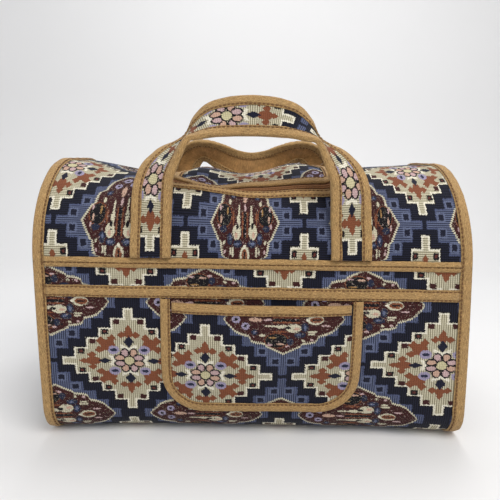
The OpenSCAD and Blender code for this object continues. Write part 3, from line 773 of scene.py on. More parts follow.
def board_material():
    """Pressed fibre board."""
    material, tree, shader = new_material("fibre_board")
    fibre = add_noise(tree, object_socket(tree), scale=400.0, detail=4.0, stretch=(1, 0.3, 1))
    colour = add_mix(tree, fibre, srgb(104, 82, 58), srgb(158, 131, 98))
    tree.links.new(colour, shader.inputs["Base Color"])
    add_bump(tree, shader, fibre, strength=0.3, distance=0.0004)
    set_inputs(shader, {"Roughness": 0.9})
    return material


CARPET = carpet_material()
TAPE = tape_material("binding_tape", DARK_TAN, TAN, PALE_TAN)
# Thread colours darker than the tape: partly the thread's own brown, partly painted shade of the stitch holes
THREAD_AND_HOLE_SHADE = tape_material("sewing_thread_and_hole_shade", srgb(84, 58, 34), srgb(108, 76, 46), srgb(136, 100, 64))
ZIP_TAPE = tape_material("zip_tape", srgb(104, 66, 38), srgb(132, 88, 54), srgb(158, 112, 72))
COIL = tape_material("zip_coil", srgb(116, 74, 42), srgb(146, 100, 62), srgb(176, 130, 86))
LINING = lining_material()
BRASS = metal_material("aged_brass", srgb(176, 140, 82), 0.38)
BOARD = board_material()


# Body cloth. The pattern's repeat is laid so that its diamonds fall where the photograph shows them
REPEAT_MM = (158.0, 125.0)
REPEAT_ACROSS = 154.6
REPEAT_LEFT = 129.2
REPEAT_RIGHT = 116.0
LOWER_DIAMOND = (-121.5, wall_t(87.5))
UPPER_DIAMOND = (-64.2, wall_t(228.0) + 81.0)
POCKET_DIAMOND = (-44.0, wall_t(74.5))
FLAP_DIAMOND = (10.0, ZIP_T + 62.0)
END_DIAMOND_Z = 98.0
GRID = 4.0


def upright_uv(x, t, diamond):
    """The repeat's long side across the bag."""
    return stacked((x - diamond[0]) / REPEAT_ACROSS, (t - diamond[1]) / REPEAT_MM[1])


def turned_uv(x, t, diamond):
    """The repeat's long side down the bag; the cloth is drawn in a little towards the right end."""
    off = x - diamond[0]
    across = np.where(off < 0, off / REPEAT_LEFT, off / REPEAT_RIGHT)
    return stacked((diamond[1] - t) / REPEAT_MM[0], across)


def grid_of(xs, ts):
    return np.meshgrid(xs, ts, indexing="ij")


def grid_line(*stops):
    """Places about a grid cell apart from the first stop to the last, with every stop among them."""
    runs = [spaced(a, b, GRID)[:-1] for a, b in zip(stops, stops[1:])]
    return np.concatenate([*runs, stops[-1:]])


BODY_XS = grid_line(-CLOTH_END_X, -MOUTH_X, MOUTH_X, CLOTH_END_X)

lower_top = SEAM_T - SEAM_GAP / 2
x, t = grid_of(BODY_XS, grid_line(-lower_top, lower_top))
# The base stands on the floor
lower_outer = cloth_point(x, t)
lower_outer[..., 2] = np.maximum(lower_outer[..., 2], 0.0)
lower_wrap = shell(
    "lower_wrap_cloth", lower_outer, cloth_point(x, t, -CLOTH_T), upright_uv(x, t, LOWER_DIAMOND), CARPET
)
replace_nodes(lower_wrap, "carpet_cloth", "lower_wrap")
2 * lower_top * MM

upper_low = SEAM_T + SEAM_GAP / 2
x, t = grid_of(BODY_XS, grid_line(upper_low, MOUTH_T, FLAP_SEAM_T, 2 * HALF_T - upper_low))
cell_x = (np.abs(x[:-1, :-1] + x[1:, 1:]) / 2) < MOUTH_X
cell_t = (t[:-1, :-1] + t[1:, 1:]) / 2
mouth_cells = cell_x & (cell_t > MOUTH_T) & (cell_t < FLAP_SEAM_T)
upper_wrap = shell(
    "upper_wrap_cloth",
    cloth_point(x, t),
    cloth_point(x, t, -CLOTH_T),
    turned_uv(x, t, UPPER_DIAMOND),
    CARPET,
    mouth_cells,
)
replace_nodes(upper_wrap, "carpet_cloth", "upper_wrap")
upper_run = 2 * (HALF_T - upper_low)
mouth_area = 2 * MOUTH_X * (FLAP_SEAM_T - MOUTH_T)
upper_run * MM
(2 * CLOTH_END_X * upper_run - mouth_area) * MM * MM

END_BULGE = 3.0
END_FLAT = 0.88
END_FULL = 0.3
END_STEP = 6.0
END_SHARES = np.linspace(1.0, 0.04, 22)


def end_panel(side, name):
    """A flat end with its barrel top, pushed out a little by what the bag holds."""
    edge = cloth_point(side * CLOTH_END_X, spaced(-HALF_T, HALF_T, END_STEP), -CLOTH_T - SEAM_GAP)[:-1]
    centre = (edge.max(axis=0) + edge.min(axis=0)) / 2
    rings = []
    for share in END_SHARES:
        ring = centre + (edge - centre) * share
        ring[:, 0] += side * END_BULGE * ramp(-END_FLAT, -END_FULL, -share)
        rings.append(ring)
    outer = np.stack(rings + [np.repeat(centre[None] + [side * END_BULGE, 0, 0], len(edge), 0)])
    outer = np.concatenate([outer, outer[:, :1]], axis=1)
    inner = outer - np.array([side * CLOTH_T, 0, 0])
    uv = stacked(outer[..., 1] / REPEAT_MM[0] + 0.5, (outer[..., 2] - END_DIAMOND_Z) / REPEAT_MM[1])
    piece = shell(name + "_cloth", outer, inner, uv, CARPET)
    face_outwards(piece.data, merge=True)
    replace_nodes(piece, "carpet_cloth", name + "_panel")


ENDS = ((-1, "left_end"), (1, "right_end"))
for side, name in ENDS:
    end_panel(side, name)


# Tapes. A section is a closed loop of [u across the tape, h above the cloth]
GROOVE_W = 1.0
GROOVE_D = 0.8
EDGE_ROUND = 0.45
EDGE_SOFT = 0.55
PATH_STEP = 3.0
END_ROW_IN = 1.8
EDGE_ROW_IN = 1.6
MOUTH_ROW_IN = 1.8
MOUTH_WANDER = 0.35
MOUTH_PUCKER = 0.3
STRAP_ROW_IN = 1.7
SEAM_ROWS = (-0.4,)
BAND_ROWS = (-4.2, 4.2)
END_STITCH_H = SKIN + 0.45
SEAM_STITCH_H = SKIN + 0.25
EDGE_STITCH_H = SKIN + 0.3
stitch_lines = []


def tape_top(u0, u1, height, crown, rows):
    """The tape's upper face from u0 to u1: rounded edges, a soft crown and a groove under each stitch row."""
    us = set(np.linspace(u0 + EDGE_ROUND, u1 - EDGE_ROUND, 7).tolist())
    for row in rows:
        us |= {row - GROOVE_W, row, row + GROOVE_W}
    us = np.array(sorted(u for u in us if u0 + EDGE_ROUND - 1e-6 <= u <= u1 - EDGE_ROUND + 1e-6))
    across = (us - (u0 + u1) / 2) / ((u1 - u0) / 2)
    hs = height + crown * (1 - across**2)
    for row in rows:
        hs = hs - (GROOVE_D + crown * 0.6) * (np.abs(us - row) < GROOVE_W * 0.5)
    return list(zip(us, hs))


def flat_section(u0, u1, low, high, crown, rows):
    """A tape laid flat on the cloth."""
    soft = low + EDGE_SOFT * (high - low)
    return np.array([(u0, low), (u0, soft), *tape_top(u0, u1, high, crown, rows), (u1, soft), (u1, low)])


def lip_section(width, low, crown, rows):
    """A tape on the cloth's face that turns down over an edge at u = 0."""
    top = tape_top(-SKIN, width, SKIN, crown, rows)
    return np.array(
        [(-SEAM_GAP, SEAM_GAP), (-SEAM_GAP, low), (-SKIN, low), (-SKIN - 0.15, SKIN * 0.3), *top,
         (width, SEAM_GAP + EDGE_SOFT * TAPE_T), (width, SEAM_GAP)]
    )


def tape_rings(path, section, low=None, face=None, seed=0.0, wander=0.3, pucker=0.3):
    """A section carried along a path of [x, t, across x, across t] on the cloth, uneven as sewn tape is."""
    plain = cloth_point(path[:, 0], path[:, 1])
    length = path_length(plain)
    u, h = section[:, 0][None], section[:, 1][None]
    ripple = wobble(length, seed)[:, None]
    second = wobble(length * 1.7, seed + 1.4)[:, None]
    raised = h > SEAM_GAP + 0.6 * TAPE_T
    u_at = u + wander * ripple * (u > 0)
    h_at = h + pucker * raised * (second + ripple * np.sin(u * 0.9))
    x_at = path[:, 0:1] + path[:, 2:3] * u_at
    t_at = path[:, 1:2] + path[:, 3:4] * u_at
    if face is not None:
        h_at = np.where(h < 0, low, h_at + face(x_at, t_at))
    return cloth_point(x_at, t_at, h_at)


def raised_line(path, u, height, face=None):
    """A line along a path, u across it and that far above the cloth, and its outward directions."""
    x_at = path[:, 0] + path[:, 2] * u
    t_at = path[:, 1] + path[:, 3] * u
    base = height if face is None else height + face(x_at, t_at)
    line = cloth_point(x_at, t_at, base)
    return line, cloth_point(x_at, t_at, base + 1.0) - line


def stitch_row(path, u, height, face=None):
    stitch_lines.append(raised_line(path, u, height, face))


def cross_path(t, x0, x1):
    return stacked(spaced(x0, x1, PATH_STEP), t, 0.0, 1.0)


def u_path(half, radius, low_t, end_t, corner_points, turn):
    """A U from its left end down, round and up to its right end; turn is 1 to face into it and -1 out."""
    corner = np.linspace(math.pi / 2, 0, corner_points)
    straight = half - radius
    right_half = np.concatenate(
        [
            stacked(half, spaced(end_t, low_t + radius, PATH_STEP)[:-1], -turn, 0.0),
            stacked(
                straight + radius * np.sin(corner),
                low_t + radius * (1 - np.cos(corner)),
                -turn * np.sin(corner),
                turn * np.cos(corner),
            ),
            stacked(spaced(straight, 0, PATH_STEP)[1:], low_t, 0.0, turn),
        ]
    )
    return np.concatenate([right_half * [-1, 1, -1, 1], right_half[-2::-1]])


def u_edge_t(x, half, radius, low_t):
    """Where the U's lower edge lies at x."""
    corner = np.maximum(0, np.abs(x) - half + radius)
    return low_t + radius - np.sqrt(np.maximum(0, radius**2 - corner**2))


# Tape over each end seam, stitched near its inner edge
for side, name in ENDS:
    ts = spaced(-HALF_T, HALF_T, PATH_STEP)[:-1]
    path = stacked(side * CLOTH_END_X, ts, -side, 0.0)
    width = END_TAPE_W - SKIN
    row = width - END_ROW_IN
    section = lip_section(width, low=-END_TAPE_W, crown=0.9, rows=[row])
    rings = tape_rings(path, section, seed=1.0 + side, pucker=0.35)
    rings[..., 2] = np.maximum(rings[..., 2], 0.0)
    piece = swept(name + "_tape", rings, TAPE, closed=True)
    replace_nodes(piece, "binding_tape", name + "_binding")
    seen = path[np.abs(ts) > BASE_RUN + LOW_ARC * 0.5]
    stitch_row(np.roll(seen, -np.argmax(seen[:, 1] > 0), axis=0), row, END_STITCH_H)

TAPE_END_X = BAG_LENGTH / 2 - END_TAPE_W - SEAM_GAP
SEAM_CROWN = 1.3
BAND_CROWN = 0.5
for name, t_at, width, rows, crown in (
    ("front_seam_tape", SEAM_T, SEAM_TAPE_W, SEAM_ROWS, SEAM_CROWN),
    ("back_seam_tape", 2 * HALF_T - SEAM_T, SEAM_TAPE_W, SEAM_ROWS, SEAM_CROWN),
    ("front_band_tape", BAND_T, BAND_TAPE_W, BAND_ROWS, BAND_CROWN),
):
    path = cross_path(t_at, -TAPE_END_X, TAPE_END_X)
    section = flat_section(-width / 2, width / 2, SEAM_GAP, SKIN, crown, rows)
    piece = swept(name + "_cloth", tape_rings(path, section, seed=len(name), wander=0.35), TAPE)
    replace_nodes(piece, "binding_tape", name)
    for row in rows:
        stitch_row(path, row, SEAM_STITCH_H)


# Patch pocket
def pocket_face(x, t):
    """Height of the pocket's outer face above the wall cloth; it stands open at its mouth."""
    across = np.minimum(1, np.abs(x - POCKET_X) / POCKET_HALF)
    up = np.clip((t - POCKET_LOW_T) / (POCKET_TOP_T - POCKET_LOW_T), 0, 1)
    return SEAM_GAP + CLOTH_T + POCKET_GAPE * (1 - across**2) * np.sin(np.pi / 2 * up)


pocket_xs = POCKET_X + POCKET_HALF * np.sin(np.linspace(-math.pi / 2, math.pi / 2, 61))
x, share = grid_of(pocket_xs, np.linspace(0, 1, 33))
edge_t = u_edge_t(x - POCKET_X, POCKET_HALF, POCKET_CORNER_R, POCKET_LOW_T)
t = edge_t + share * (POCKET_TOP_T - edge_t)
pocket = shell(
    "pocket_cloth",
    cloth_point(x, t, pocket_face(x, t)),
    cloth_point(x, t, pocket_face(x, t) - CLOTH_T),
    upright_uv(x, t, POCKET_DIAMOND),
    CARPET,
)
replace_nodes(pocket, "carpet_cloth", "pocket_panel")
pocket_h = POCKET_TOP_T - POCKET_LOW_T
pocket_h * MM
(POCKET_W * pocket_h - (2 - math.pi / 2) * POCKET_CORNER_R**2) * MM * MM

path = u_path(POCKET_HALF, POCKET_CORNER_R, POCKET_LOW_T, POCKET_TAPE_END_T, corner_points=14, turn=1)
path[:, 0] += POCKET_X
edge_w = EDGE_TAPE_W - SKIN
edge_row = edge_w - EDGE_ROW_IN
section = lip_section(edge_w, low=-1.0, crown=0.6, rows=[edge_row])
rings = tape_rings(path, section, SEAM_GAP, pocket_face, seed=4.0)
piece = swept("pocket_edge_tape", rings, TAPE)
replace_nodes(piece, "binding_tape", "pocket_edge_binding")
stitch_row(path, edge_row, EDGE_STITCH_H, pocket_face)

mouth_half = POCKET_HALF - EDGE_TAPE_W - SEAM_GAP
low_t = POCKET_TOP_T - EDGE_TAPE_W + SKIN
top_t = POCKET_TOP_T + SKIN
row_t = low_t + MOUTH_ROW_IN
fold = np.array(
    [
        (low_t, SEAM_GAP),
        (low_t, SEAM_GAP + EDGE_SOFT * TAPE_T),
        *tape_top(low_t, top_t, SKIN, crown=0.7, rows=[row_t]),
        (top_t + 0.3, -0.2),
        (top_t - 0.2, -CLOTH_T - SKIN * 0.8),
        (top_t - 1.0, -CLOTH_T - SKIN),
        (low_t, -CLOTH_T - SKIN),
        (low_t, -CLOTH_T - SEAM_GAP),
        (POCKET_TOP_T + SEAM_GAP, -CLOTH_T - SEAM_GAP),
        (POCKET_TOP_T + SEAM_GAP, SEAM_GAP),
    ]
)
xs = spaced(POCKET_X - mouth_half, POCKET_X + mouth_half, PATH_STEP)[:, None]
outer_side = fold[:, 1][None] > 0
t_at = fold[:, 0][None] + MOUTH_WANDER * wobble(xs, 2.0) * outer_side
h_at = fold[:, 1][None] + MOUTH_PUCKER * wobble(xs * 1.6, 5.0) * (fold[:, 1][None] >= SKIN)
rings = cloth_point(xs, t_at, pocket_face(xs, t_at) + h_at)
piece = swept("pocket_mouth_tape", rings, TAPE)
replace_nodes(piece, "binding_tape", "pocket_mouth_binding")
stitch_row(cross_path(row_t, xs[0, 0] + 1, xs[-1, 0] - 1), 0, EDGE_STITCH_H, pocket_face)


# Zip and flap
zip_path = u_path(ZIP_HALF_W, ZIP_CORNER_R, ZIP_T, ZIP_END_T, corner_points=12, turn=-1)


def along_zip(u, turn):
    moved = zip_path.copy()
    moved[:, :2] += u * zip_path[:, 2:]
    moved[:, 2:] *= turn
    return moved


ZIP_TAPE_T = 0.6
ZIP_FACE_H = -CLOTH_T - SEAM_GAP - 0.15
TAPE_SPLIT = 1.0
COIL_U = 1.5
COIL_H = ZIP_FACE_H + 1.2
FACING_ROW = 1.0
ZIP_SIDES = ((1, "mouth"), (-1, "flap"))
for side, name in ZIP_SIDES:
    path = along_zip(side * ZIP_GAP_HALF, side)
    rows = [FACING_ROW, edge_row] if name == "mouth" else [edge_row]
    section = lip_section(edge_w, low=-CLOTH_T, crown=0.6, rows=rows)
    rings = tape_rings(path, section, seed=6.0 + side)
    piece = swept(name + "_edge_tape", rings, TAPE)
    replace_nodes(piece, "binding_tape", name + "_binding")
    for row in rows:
        stitch_row(path, row, EDGE_STITCH_H)
    edges = sorted((side * TAPE_SPLIT, side * (TAPE_SPLIT + ZIP_TAPE_W)))
    section = flat_section(*edges, ZIP_FACE_H - ZIP_TAPE_T, ZIP_FACE_H, crown=0.0, rows=[])
    rings = tape_rings(zip_path, section, wander=0, pucker=0)
    piece = swept("zip_tape_" + name + "_cloth", rings, ZIP_TAPE)
    replace_nodes(piece, "zip_tape", "zip_tape_" + name)

FLAP_HALF = ZIP_HALF_W - ZIP_GAP_HALF
FLAP_CORNER_R = ZIP_CORNER_R - ZIP_GAP_HALF
flap_corner = FLAP_HALF - FLAP_CORNER_R * (1 - np.sin(np.linspace(0, math.pi / 2, 9)))[1:]
flap_straight = FLAP_HALF - FLAP_CORNER_R
flap_xs = np.concatenate([-flap_corner[::-1], grid_line(-flap_straight, flap_straight), flap_corner])
x, share = grid_of(flap_xs, np.linspace(0, 1, 36))
edge_t = u_edge_t(x, FLAP_HALF, FLAP_CORNER_R, ZIP_T + ZIP_GAP_HALF)
t = edge_t + share * (ZIP_END_T - edge_t)
flap = shell(
    "flap_cloth", cloth_point(x, t), cloth_point(x, t, -CLOTH_T), turned_uv(x, t, FLAP_DIAMOND), CARPET
)
replace_nodes(flap, "carpet_cloth", "top_flap")
flap_run = ZIP_END_T - ZIP_T - ZIP_GAP_HALF
flap_run * MM


# Handle straps. Each point of a bend is [share of half the leg spacing inward, share of the lean, share of
# the rise, turn of the strap in degrees]
FRONT_BEND = np.array(
    [
        [0, 0, 0, 0], [0.01, 0.05, 0.2, 4], [0.025, 0.2, 0.35, 12],
        [0.065, 0.45, 0.48, 30], [0.17, 0.85, 0.62, 52], [0.34, 1.15, 0.77, 80],
        [0.46, 1.12, 0.87, 58], [0.66, 1.05, 0.965, 28], [1, 1, 1, 12],
    ]
)
REAR_BEND = np.array(
    [
        [0, 0, 0, 0], [0, 0.1, 0.42, 0], [0.01, 0.4, 0.8, 5],
        [0.07, 0.9, 1.13, 20], [0.2, 1.4, 1.33, 42], [0.36, 1.5, 1.35, 45],
        [0.55, 1.25, 1.22, 28], [0.75, 1.05, 1.07, 12], [1, 1, 1, 5],
    ]
)
FRONT_SAMPLES = 7
REAR_SAMPLES = 13
HALF_SPACING = LEG_SPACING / 2
LEG_LOW_T = SEAM_T + SEAM_TAPE_W / 2 + SEAM_GAP
LEG_HIGH_T = ARC_START + TOP_RADIUS * math.radians(LEG_LEAVES)
STRAP_EDGE = STRAP_W / 2
LAYER_EDGE = STRAP_EDGE - SKIN
TAPE_INNER = STRAP_EDGE - EDGE_TAPE_W
LINING_N = TAPE_T + SEAM_GAP
CLOTH_N = LINING_N + LINING_T + SEAM_GAP
FACE_N = CLOTH_N + CLOTH_T
MIRROR_Y = np.array([1, -1, 1])
ROSETTE_LOW = 75.0
ROSETTE_REACH = 34.0
GATHER_PITCH = 5.2
GATHER_H = 0.42
LEG_RUN = LEG_HIGH_T - LEG_LOW_T
LEG_STEP = 4.0
FREE_RUN = 40.0
LINING_REPEATS = 15
STRAP_RIPPLE = 0.5
RIPPLE_W = 9.0
STRAP_WANDER = 0.4
STRAP_PUCKER = 0.3
# The tape's underside sags between its edge and its stitches, and its loose edge wanders
UNDER_SAG = 0.35
UNDER_WS = (STRAP_EDGE - 0.6, 17.0, 15.0)
ROW_DIP = 0.6
LOOSE_EDGE = 0.6


def bend_curve(bend, samples):
    """A smooth curve through a bend's points; beyond its last point it is mirrored."""
    before = 2 * bend[0] - bend[1]
    after = bend[-2] * [-1, 1, 1, 1] + [2, 0, 0, 0]
    p = np.vstack([before, bend, after])
    out = []
    for i in range(1, len(p) - 2):
        a, b, c, d = p[i - 1 : i + 3]
        for u in np.linspace(0, 1, samples + 1)[1:]:
            out.append(b + 0.5 * u * (c - a + u * (2 * a - 5 * b + 4 * c - d + u * (3 * b - a - 3 * c + d))))
    return np.array(out)


def strap_route(bend, lean, rise_by, back):
    """Middle line of a strap from its left leg to its right one, and its turn in radians at each point."""
    ts = spaced(LEG_LOW_T, LEG_HIGH_T, LEG_STEP)
    curve = bend_curve(bend, REAR_SAMPLES if back else FRONT_SAMPLES)
    halves = []
    starts = []
    for side in (-1, 1):
        leg = cloth_point(side * HALF_SPACING, 2 * HALF_T - ts if back else ts, SEAM_GAP)
        halves.append(leg * MIRROR_Y if back else leg)
        starts.append(halves[-1][-1])
    apex_start = (starts[0] + starts[1]) / 2
    lines = []
    for side, leg, start in zip((-1, 1), halves, starts):
        base = start + (apex_start - start) * curve[:, :1]
        free = stacked(
            side * HALF_SPACING * (1 - curve[:, 0]),
            base[:, 1] + lean * curve[:, 1],
            base[:, 2] + rise_by * curve[:, 2],
        )
        lines.append(np.concatenate([leg, free]))
    turn = np.radians(np.concatenate([np.zeros(len(ts)), curve[:, 3]]))
    return np.concatenate([lines[0], lines[1][-2::-1]]), np.concatenate([turn, turn[-2::-1]])


def strap_frame(line, turn):
    """Across and outward directions of the strap along its line."""
    along = np.gradient(line, axis=0)
    along /= np.linalg.norm(along, axis=1, keepdims=True)
    up = np.cross(along, [0, 1, 0])
    up /= np.linalg.norm(up, axis=1, keepdims=True)
    across = up * np.cos(turn)[:, None] + np.cross(up, along) * np.sin(turn)[:, None]
    return across, np.cross(along, across)


def build_strap(name, bend, lean, rise_by, back, rosette):
    """Cloth, lining and the two folded edge tapes of one handle, with their stitches."""
    line, turn = strap_route(bend, lean, rise_by, back)
    across, out = strap_frame(line, turn)
    length = path_length(line)
    free = ramp(0, FREE_RUN, length - LEG_RUN) * ramp(0, FREE_RUN, length[-1] - length - LEG_RUN)
    flip = MIRROR_Y if back else np.ones(3)
    # The pattern runs true on the legs and over the top, and is drawn up in the twisted bends between
    stops = np.array([ROSETTE_LOW, length[-1] / 2 + rosette, length[-1] - ROSETTE_LOW])
    places = np.concatenate([stops - ROSETTE_REACH, stops + ROSETTE_REACH])
    reach = ROSETTE_REACH / REPEAT_MM[0]
    repeats = np.concatenate([np.arange(-1, 2) - reach, np.arange(-1, 2) + reach])
    order = np.argsort(places)
    run = np.interp(length, places[order], repeats[order])
    run = run + np.minimum(0, length - places.min()) / REPEAT_MM[0]
    run = run + np.maximum(0, length - places.max()) / REPEAT_MM[0]

    def at(w, n):
        w, n = np.broadcast_arrays(w, n)
        ripple = STRAP_RIPPLE * wobble(length, 3.0 + back)[:, None] * np.cos(w / RIPPLE_W) * free[:, None]
        points = line[:, None] + across[:, None] * w[..., None] + out[:, None] * (n + ripple)[..., None]
        return points * flip

    def layer(n0, n1, crown):
        ws = np.linspace(-LAYER_EDGE, LAYER_EDGE, 13)[None]
        lift = crown * (1 - (ws / LAYER_EDGE) ** 2)
        uv = stacked(run[:, None], ws / REPEAT_MM[1])
        return at(ws, n1 + lift), at(ws, n0 + lift), uv

    cloth = shell(name + "_carpet", *layer(CLOTH_N, FACE_N, crown=0.5), CARPET)
    replace_nodes(cloth, "carpet_cloth", name + "_cloth")
    outer, inner, uv = layer(LINING_N, LINING_N + LINING_T, crown=-0.3)
    lining = shell(name + "_leathercloth", outer, inner, uv * LINING_REPEATS, LINING)
    replace_nodes(lining, "handle_lining", name + "_lining")
    row = TAPE_INNER + STRAP_ROW_IN
    under_ws = (*UNDER_WS, row + GROOVE_W, row, row - GROOVE_W)
    under = [(w, -UNDER_SAG * (abs(w - row) > ROW_DIP)) for w in under_ws]
    rows_at = ((FACE_N + EDGE_STITCH_H, 1.0), (-0.1, -1.0))
    for side, kind in ((1, "outer"), (-1, "inner")):
        top = tape_top(TAPE_INNER, STRAP_EDGE, FACE_N + SKIN, crown=0.5, rows=[row])
        section = np.array(
            [
                (TAPE_INNER, FACE_N + SEAM_GAP),
                (TAPE_INNER, FACE_N + SEAM_GAP + 0.5),
                *top,
                (STRAP_EDGE + 0.25, FACE_N * 0.7),
                (STRAP_EDGE + 0.25, FACE_N * 0.2),
                *under,
                (TAPE_INNER, 0.4),
                (TAPE_INNER, TAPE_T),
                (LAYER_EDGE + SEAM_GAP, TAPE_T),
                (LAYER_EDGE + SEAM_GAP, FACE_N + SEAM_GAP),
            ]
        )
        w, n = section[:, 0][None], section[:, 1][None]
        shift = STRAP_WANDER * wobble(length, 7.0 + side)[:, None] * (w < TAPE_INNER + LOOSE_EDGE)
        # The rear handle's tapes are gathered where the strap bends
        gather = GATHER_H * back * free * np.sin(length * 2 * math.pi / GATHER_PITCH)
        pucker = (STRAP_PUCKER * wobble(length * 1.8, 9.0 + side) + gather)[:, None]
        puffed = np.where(n > FACE_N + SKIN - 0.1, pucker, np.where(n < 0.3, -pucker, 0))
        piece = swept(name + "_" + kind + "_edge", at(side * (w + shift), n + puffed), TAPE)
        replace_nodes(piece, "binding_tape", name + "_" + kind + "_tape")
        for height, away in rows_at:
            row_at = at(np.full((len(line), 1), side * row), np.full((len(line), 1), height))[:, 0]
            stitch_lines.append((row_at, out * flip * away))


build_strap("front_handle", FRONT_BEND, FRONT_LEAN, FRONT_RISE, back=False, rosette=-25.0)
build_strap("rear_handle", REAR_BEND, REAR_LEAN, REAR_RISE, back=True, rosette=10.0)


# Repeats along a line: stitches and zip teeth, one node tree for both
def repeat_tree():
    tree = bpy.data.node_groups.new("beads_along_line", "GeometryNodeTree")
    face = tree.interface
    face.new_socket("Geometry", in_out="INPUT", socket_type="NodeSocketGeometry")
    pitch = face.new_socket("Pitch", in_out="INPUT", socket_type="NodeSocketFloat")
    size = face.new_socket("Size", in_out="INPUT", socket_type="NodeSocketVector")
    finish = face.new_socket("Material", in_out="INPUT", socket_type="NodeSocketMaterial")
    face.new_socket("Geometry", in_out="OUTPUT", socket_type="NodeSocketGeometry")

    def add(kind):
        return tree.nodes.new(kind)

    given = add("NodeGroupInput")
    result = add("NodeGroupOutput")
    to_curve = add("GeometryNodeMeshToCurve")
    resample = add("GeometryNodeResampleCurve")
    resample.mode = "LENGTH"
    tangent = add("GeometryNodeInputTangent")
    normal = add("GeometryNodeInputNamedAttribute")
    normal.data_type = "FLOAT_VECTOR"
    set_inputs(normal, {"Name": "outward"})
    point_along = add("FunctionNodeAlignRotationToVector")
    point_along.axis = "X"
    point_up = add("FunctionNodeAlignRotationToVector")
    point_up.axis = "Z"
    point_up.pivot_axis = "X"
    bead = add("GeometryNodeMeshUVSphere")
    set_inputs(bead, {"Segments": 6, "Rings": 5, "Radius": 1.0})
    place = add("GeometryNodeInstanceOnPoints")
    realize = add("GeometryNodeRealizeInstances")
    smooth = add("GeometryNodeSetShadeSmooth")
    dress = add("GeometryNodeSetMaterial")
    for source, output, target, slot in (
        (given, "Geometry", to_curve, "Mesh"),
        (to_curve, "Curve", resample, "Curve"),
        (given, "Pitch", resample, "Length"),
        (resample, "Curve", place, "Points"),
        (bead, "Mesh", place, "Instance"),
        (tangent, "Tangent", point_along, "Vector"),
        (point_along, "Rotation", point_up, "Rotation"),
        (normal, "Attribute", point_up, "Vector"),
        (point_up, "Rotation", place, "Rotation"),
        (given, "Size", place, "Scale"),
        (place, "Instances", realize, "Geometry"),
        (realize, "Geometry", smooth, "Geometry"),
        (smooth, "Geometry", dress, "Geometry"),
        (given, "Material", dress, "Material"),
        (dress, "Geometry", result, "Geometry"),
    ):
        tree.links.new(source.outputs[output], target.inputs[slot])
    return tree, {"pitch": pitch.identifier, "size": size.identifier, "material": finish.identifier}


BEADS, BEAD_SOCKETS = repeat_tree()


def beads(name, lines, pitch, size, material):
    """Beads of that half size in millimetres, [along, across, up], along lines of (points, outward)."""
    points = np.concatenate([line for line, _ in lines]) * MM
    outward = np.concatenate([out for _, out in lines])
    edges = []
    start = 0
    for line, _ in lines:
        edges += [(start + i, start + i + 1) for i in range(len(line) - 1)]
        start += len(line)
    mesh = bpy.data.meshes.new(name + "_lines")
    mesh.from_pydata(points.tolist(), edges, [])
    attribute = mesh.attributes.new("outward", "FLOAT_VECTOR", "POINT")
    attribute.data.foreach_set("vector", outward.ravel())
    guide = add_object(name + "_lines", mesh)
    modifier = guide.modifiers.new("beads", "NODES")
    modifier.node_group = BEADS
    modifier[BEAD_SOCKETS["pitch"]] = pitch * MM
    modifier[BEAD_SOCKETS["size"]] = [v * MM for v in size]
    modifier[BEAD_SOCKETS["material"]] = material
    graph = bpy.context.evaluated_depsgraph_get()
    made = bpy.data.meshes.new_from_object(guide.evaluated_get(graph))
    guide.modifiers.clear()
    bpy.data.objects.remove(guide)
    made.name = name
    if material.name not in made.materials:
        made.materials.append(material)
    piece = add_object(name, made)
    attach(piece, "bag")
    return piece


STITCH_PITCH = 4.2
STITCH_HALF = (1.6, 0.9, 0.55)
TOOTH_PITCH = 1.5
TOOTH_HALF = (0.8, 1.25, 0.95)
beads("seam_stitches", stitch_lines, STITCH_PITCH, STITCH_HALF, THREAD_AND_HOLE_SHADE)
for side, name in ZIP_SIDES:
    line = raised_line(zip_path, side * COIL_U, COIL_H)
    piece = beads("zip_teeth_" + name, [line], TOOTH_PITCH, TOOTH_HALF, COIL)
    replace_nodes(piece, "zip_coil", "zip_coil_" + name)

for name, material in (("zip_slider", BRASS), ("zip_pull_tab", BRASS), ("base_board", BOARD)):
    kept = nodes[name]
    kept.data.materials.clear()
    kept.data.materials.append(material)


# Floor, backdrop, light and camera
def stage_material(name, colour):
    material, tree, shader = new_material(name)
    mottle = add_noise(tree, object_socket(tree), scale=3.0, detail=2.0)
    tinted = add_mix(tree, mottle, darker(colour, 0.97), colour)
    tree.links.new(tinted, shader.inputs["Base Color"])
    set_inputs(shader, {"Roughness": 0.85, "Specular IOR Level": 0.1})
    return material


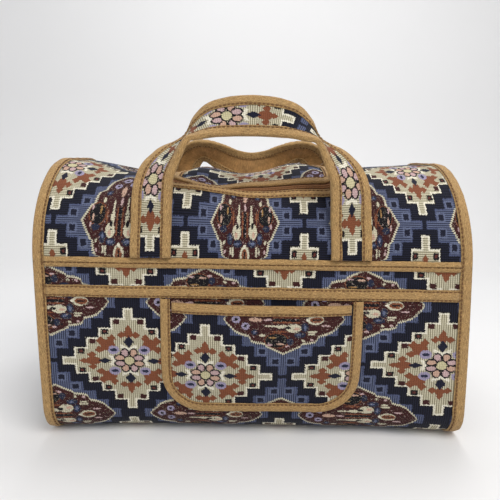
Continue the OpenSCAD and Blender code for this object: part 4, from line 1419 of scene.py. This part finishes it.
BACKDROP_Y = 1.1
SWEEP_R = 0.5
HALF_STAGE = 4.0
FRONT_Y = -3.0
BACKDROP_TOP = 3.5
arc = np.linspace(0, math.pi / 2, 13)
profile_y = np.concatenate([[FRONT_Y], BACKDROP_Y - SWEEP_R + SWEEP_R * np.sin(arc), [BACKDROP_Y]])
profile_z = np.concatenate([[0.0], SWEEP_R * (1 - np.cos(arc)), [BACKDROP_TOP]])
points = [(side * HALF_STAGE, y, z) for y, z in zip(profile_y, profile_z) for side in (-1, 1)]
faces = [(2 * i, 2 * i + 1, 2 * i + 3, 2 * i + 2) for i in range(len(profile_y) - 1)]
mesh = bpy.data.meshes.new("studio_sweep")
mesh.from_pydata(points, [], faces)
mesh.shade_smooth()
mesh.materials.append(stage_material("pale_paper", srgb(234, 234, 235)))
sweep = add_object("studio_sweep", mesh)

# Each light is [name, place, size, power, colour]
WARM = (1.0, 0.975, 0.94)
WHITE = (1.0, 1.0, 1.0)
LIGHTS = (
    ("key", (0.55, -0.85, 1.35), (0.9, 0.9), 15.0, WARM),
    ("fill", (-1.1, -1.0, 0.7), (1.2, 1.2), 4.5, WHITE),
    ("top", (0.1, 0.4, 1.5), (0.9, 0.7), 9.0, WHITE),
)
BAG_MIDDLE = Vector((0.0, 0.0, 0.17))
SKY = (0.98, 0.99, 1.0, 1.0)
SKY_STRENGTH = 0.45
for name, place, size, power, colour in LIGHTS:
    lamp = bpy.data.lights.new(name, "AREA")
    lamp.shape = "RECTANGLE"
    lamp.size, lamp.size_y = size
    lamp.energy = power
    lamp.color = colour
    holder = add_object(name, lamp)
    holder.location = place
    holder.rotation_euler = (BAG_MIDDLE - Vector(place)).to_track_quat("-Z", "Y").to_euler()
world = bpy.data.worlds.new("studio")
world.use_nodes = True
set_inputs(world.node_tree.nodes["Background"], {"Color": SKY, "Strength": SKY_STRENGTH})
bpy.context.scene.world = world

# Camera as fitted to the photograph: level with the top of the bag, looking down a little
CAMERA_PLACE = (-0.002, -0.584, 0.292)
CAMERA_DOWN = 10.85
CAMERA_ROLL = -0.9
CAMERA_LENS = 34.6
CAMERA_SENSOR = 36.0
camera_data = bpy.data.cameras.new("camera")
camera_data.lens = CAMERA_LENS
camera_data.sensor_width = CAMERA_SENSOR
camera = add_object("camera", camera_data)
camera.location = CAMERA_PLACE
camera.rotation_mode = "XYZ"
camera.rotation_euler = (math.radians(90 - CAMERA_DOWN), math.radians(CAMERA_ROLL), 0)
bpy.context.scene.camera = camera
bpy.context.scene.view_settings.view_transform = "Standard"
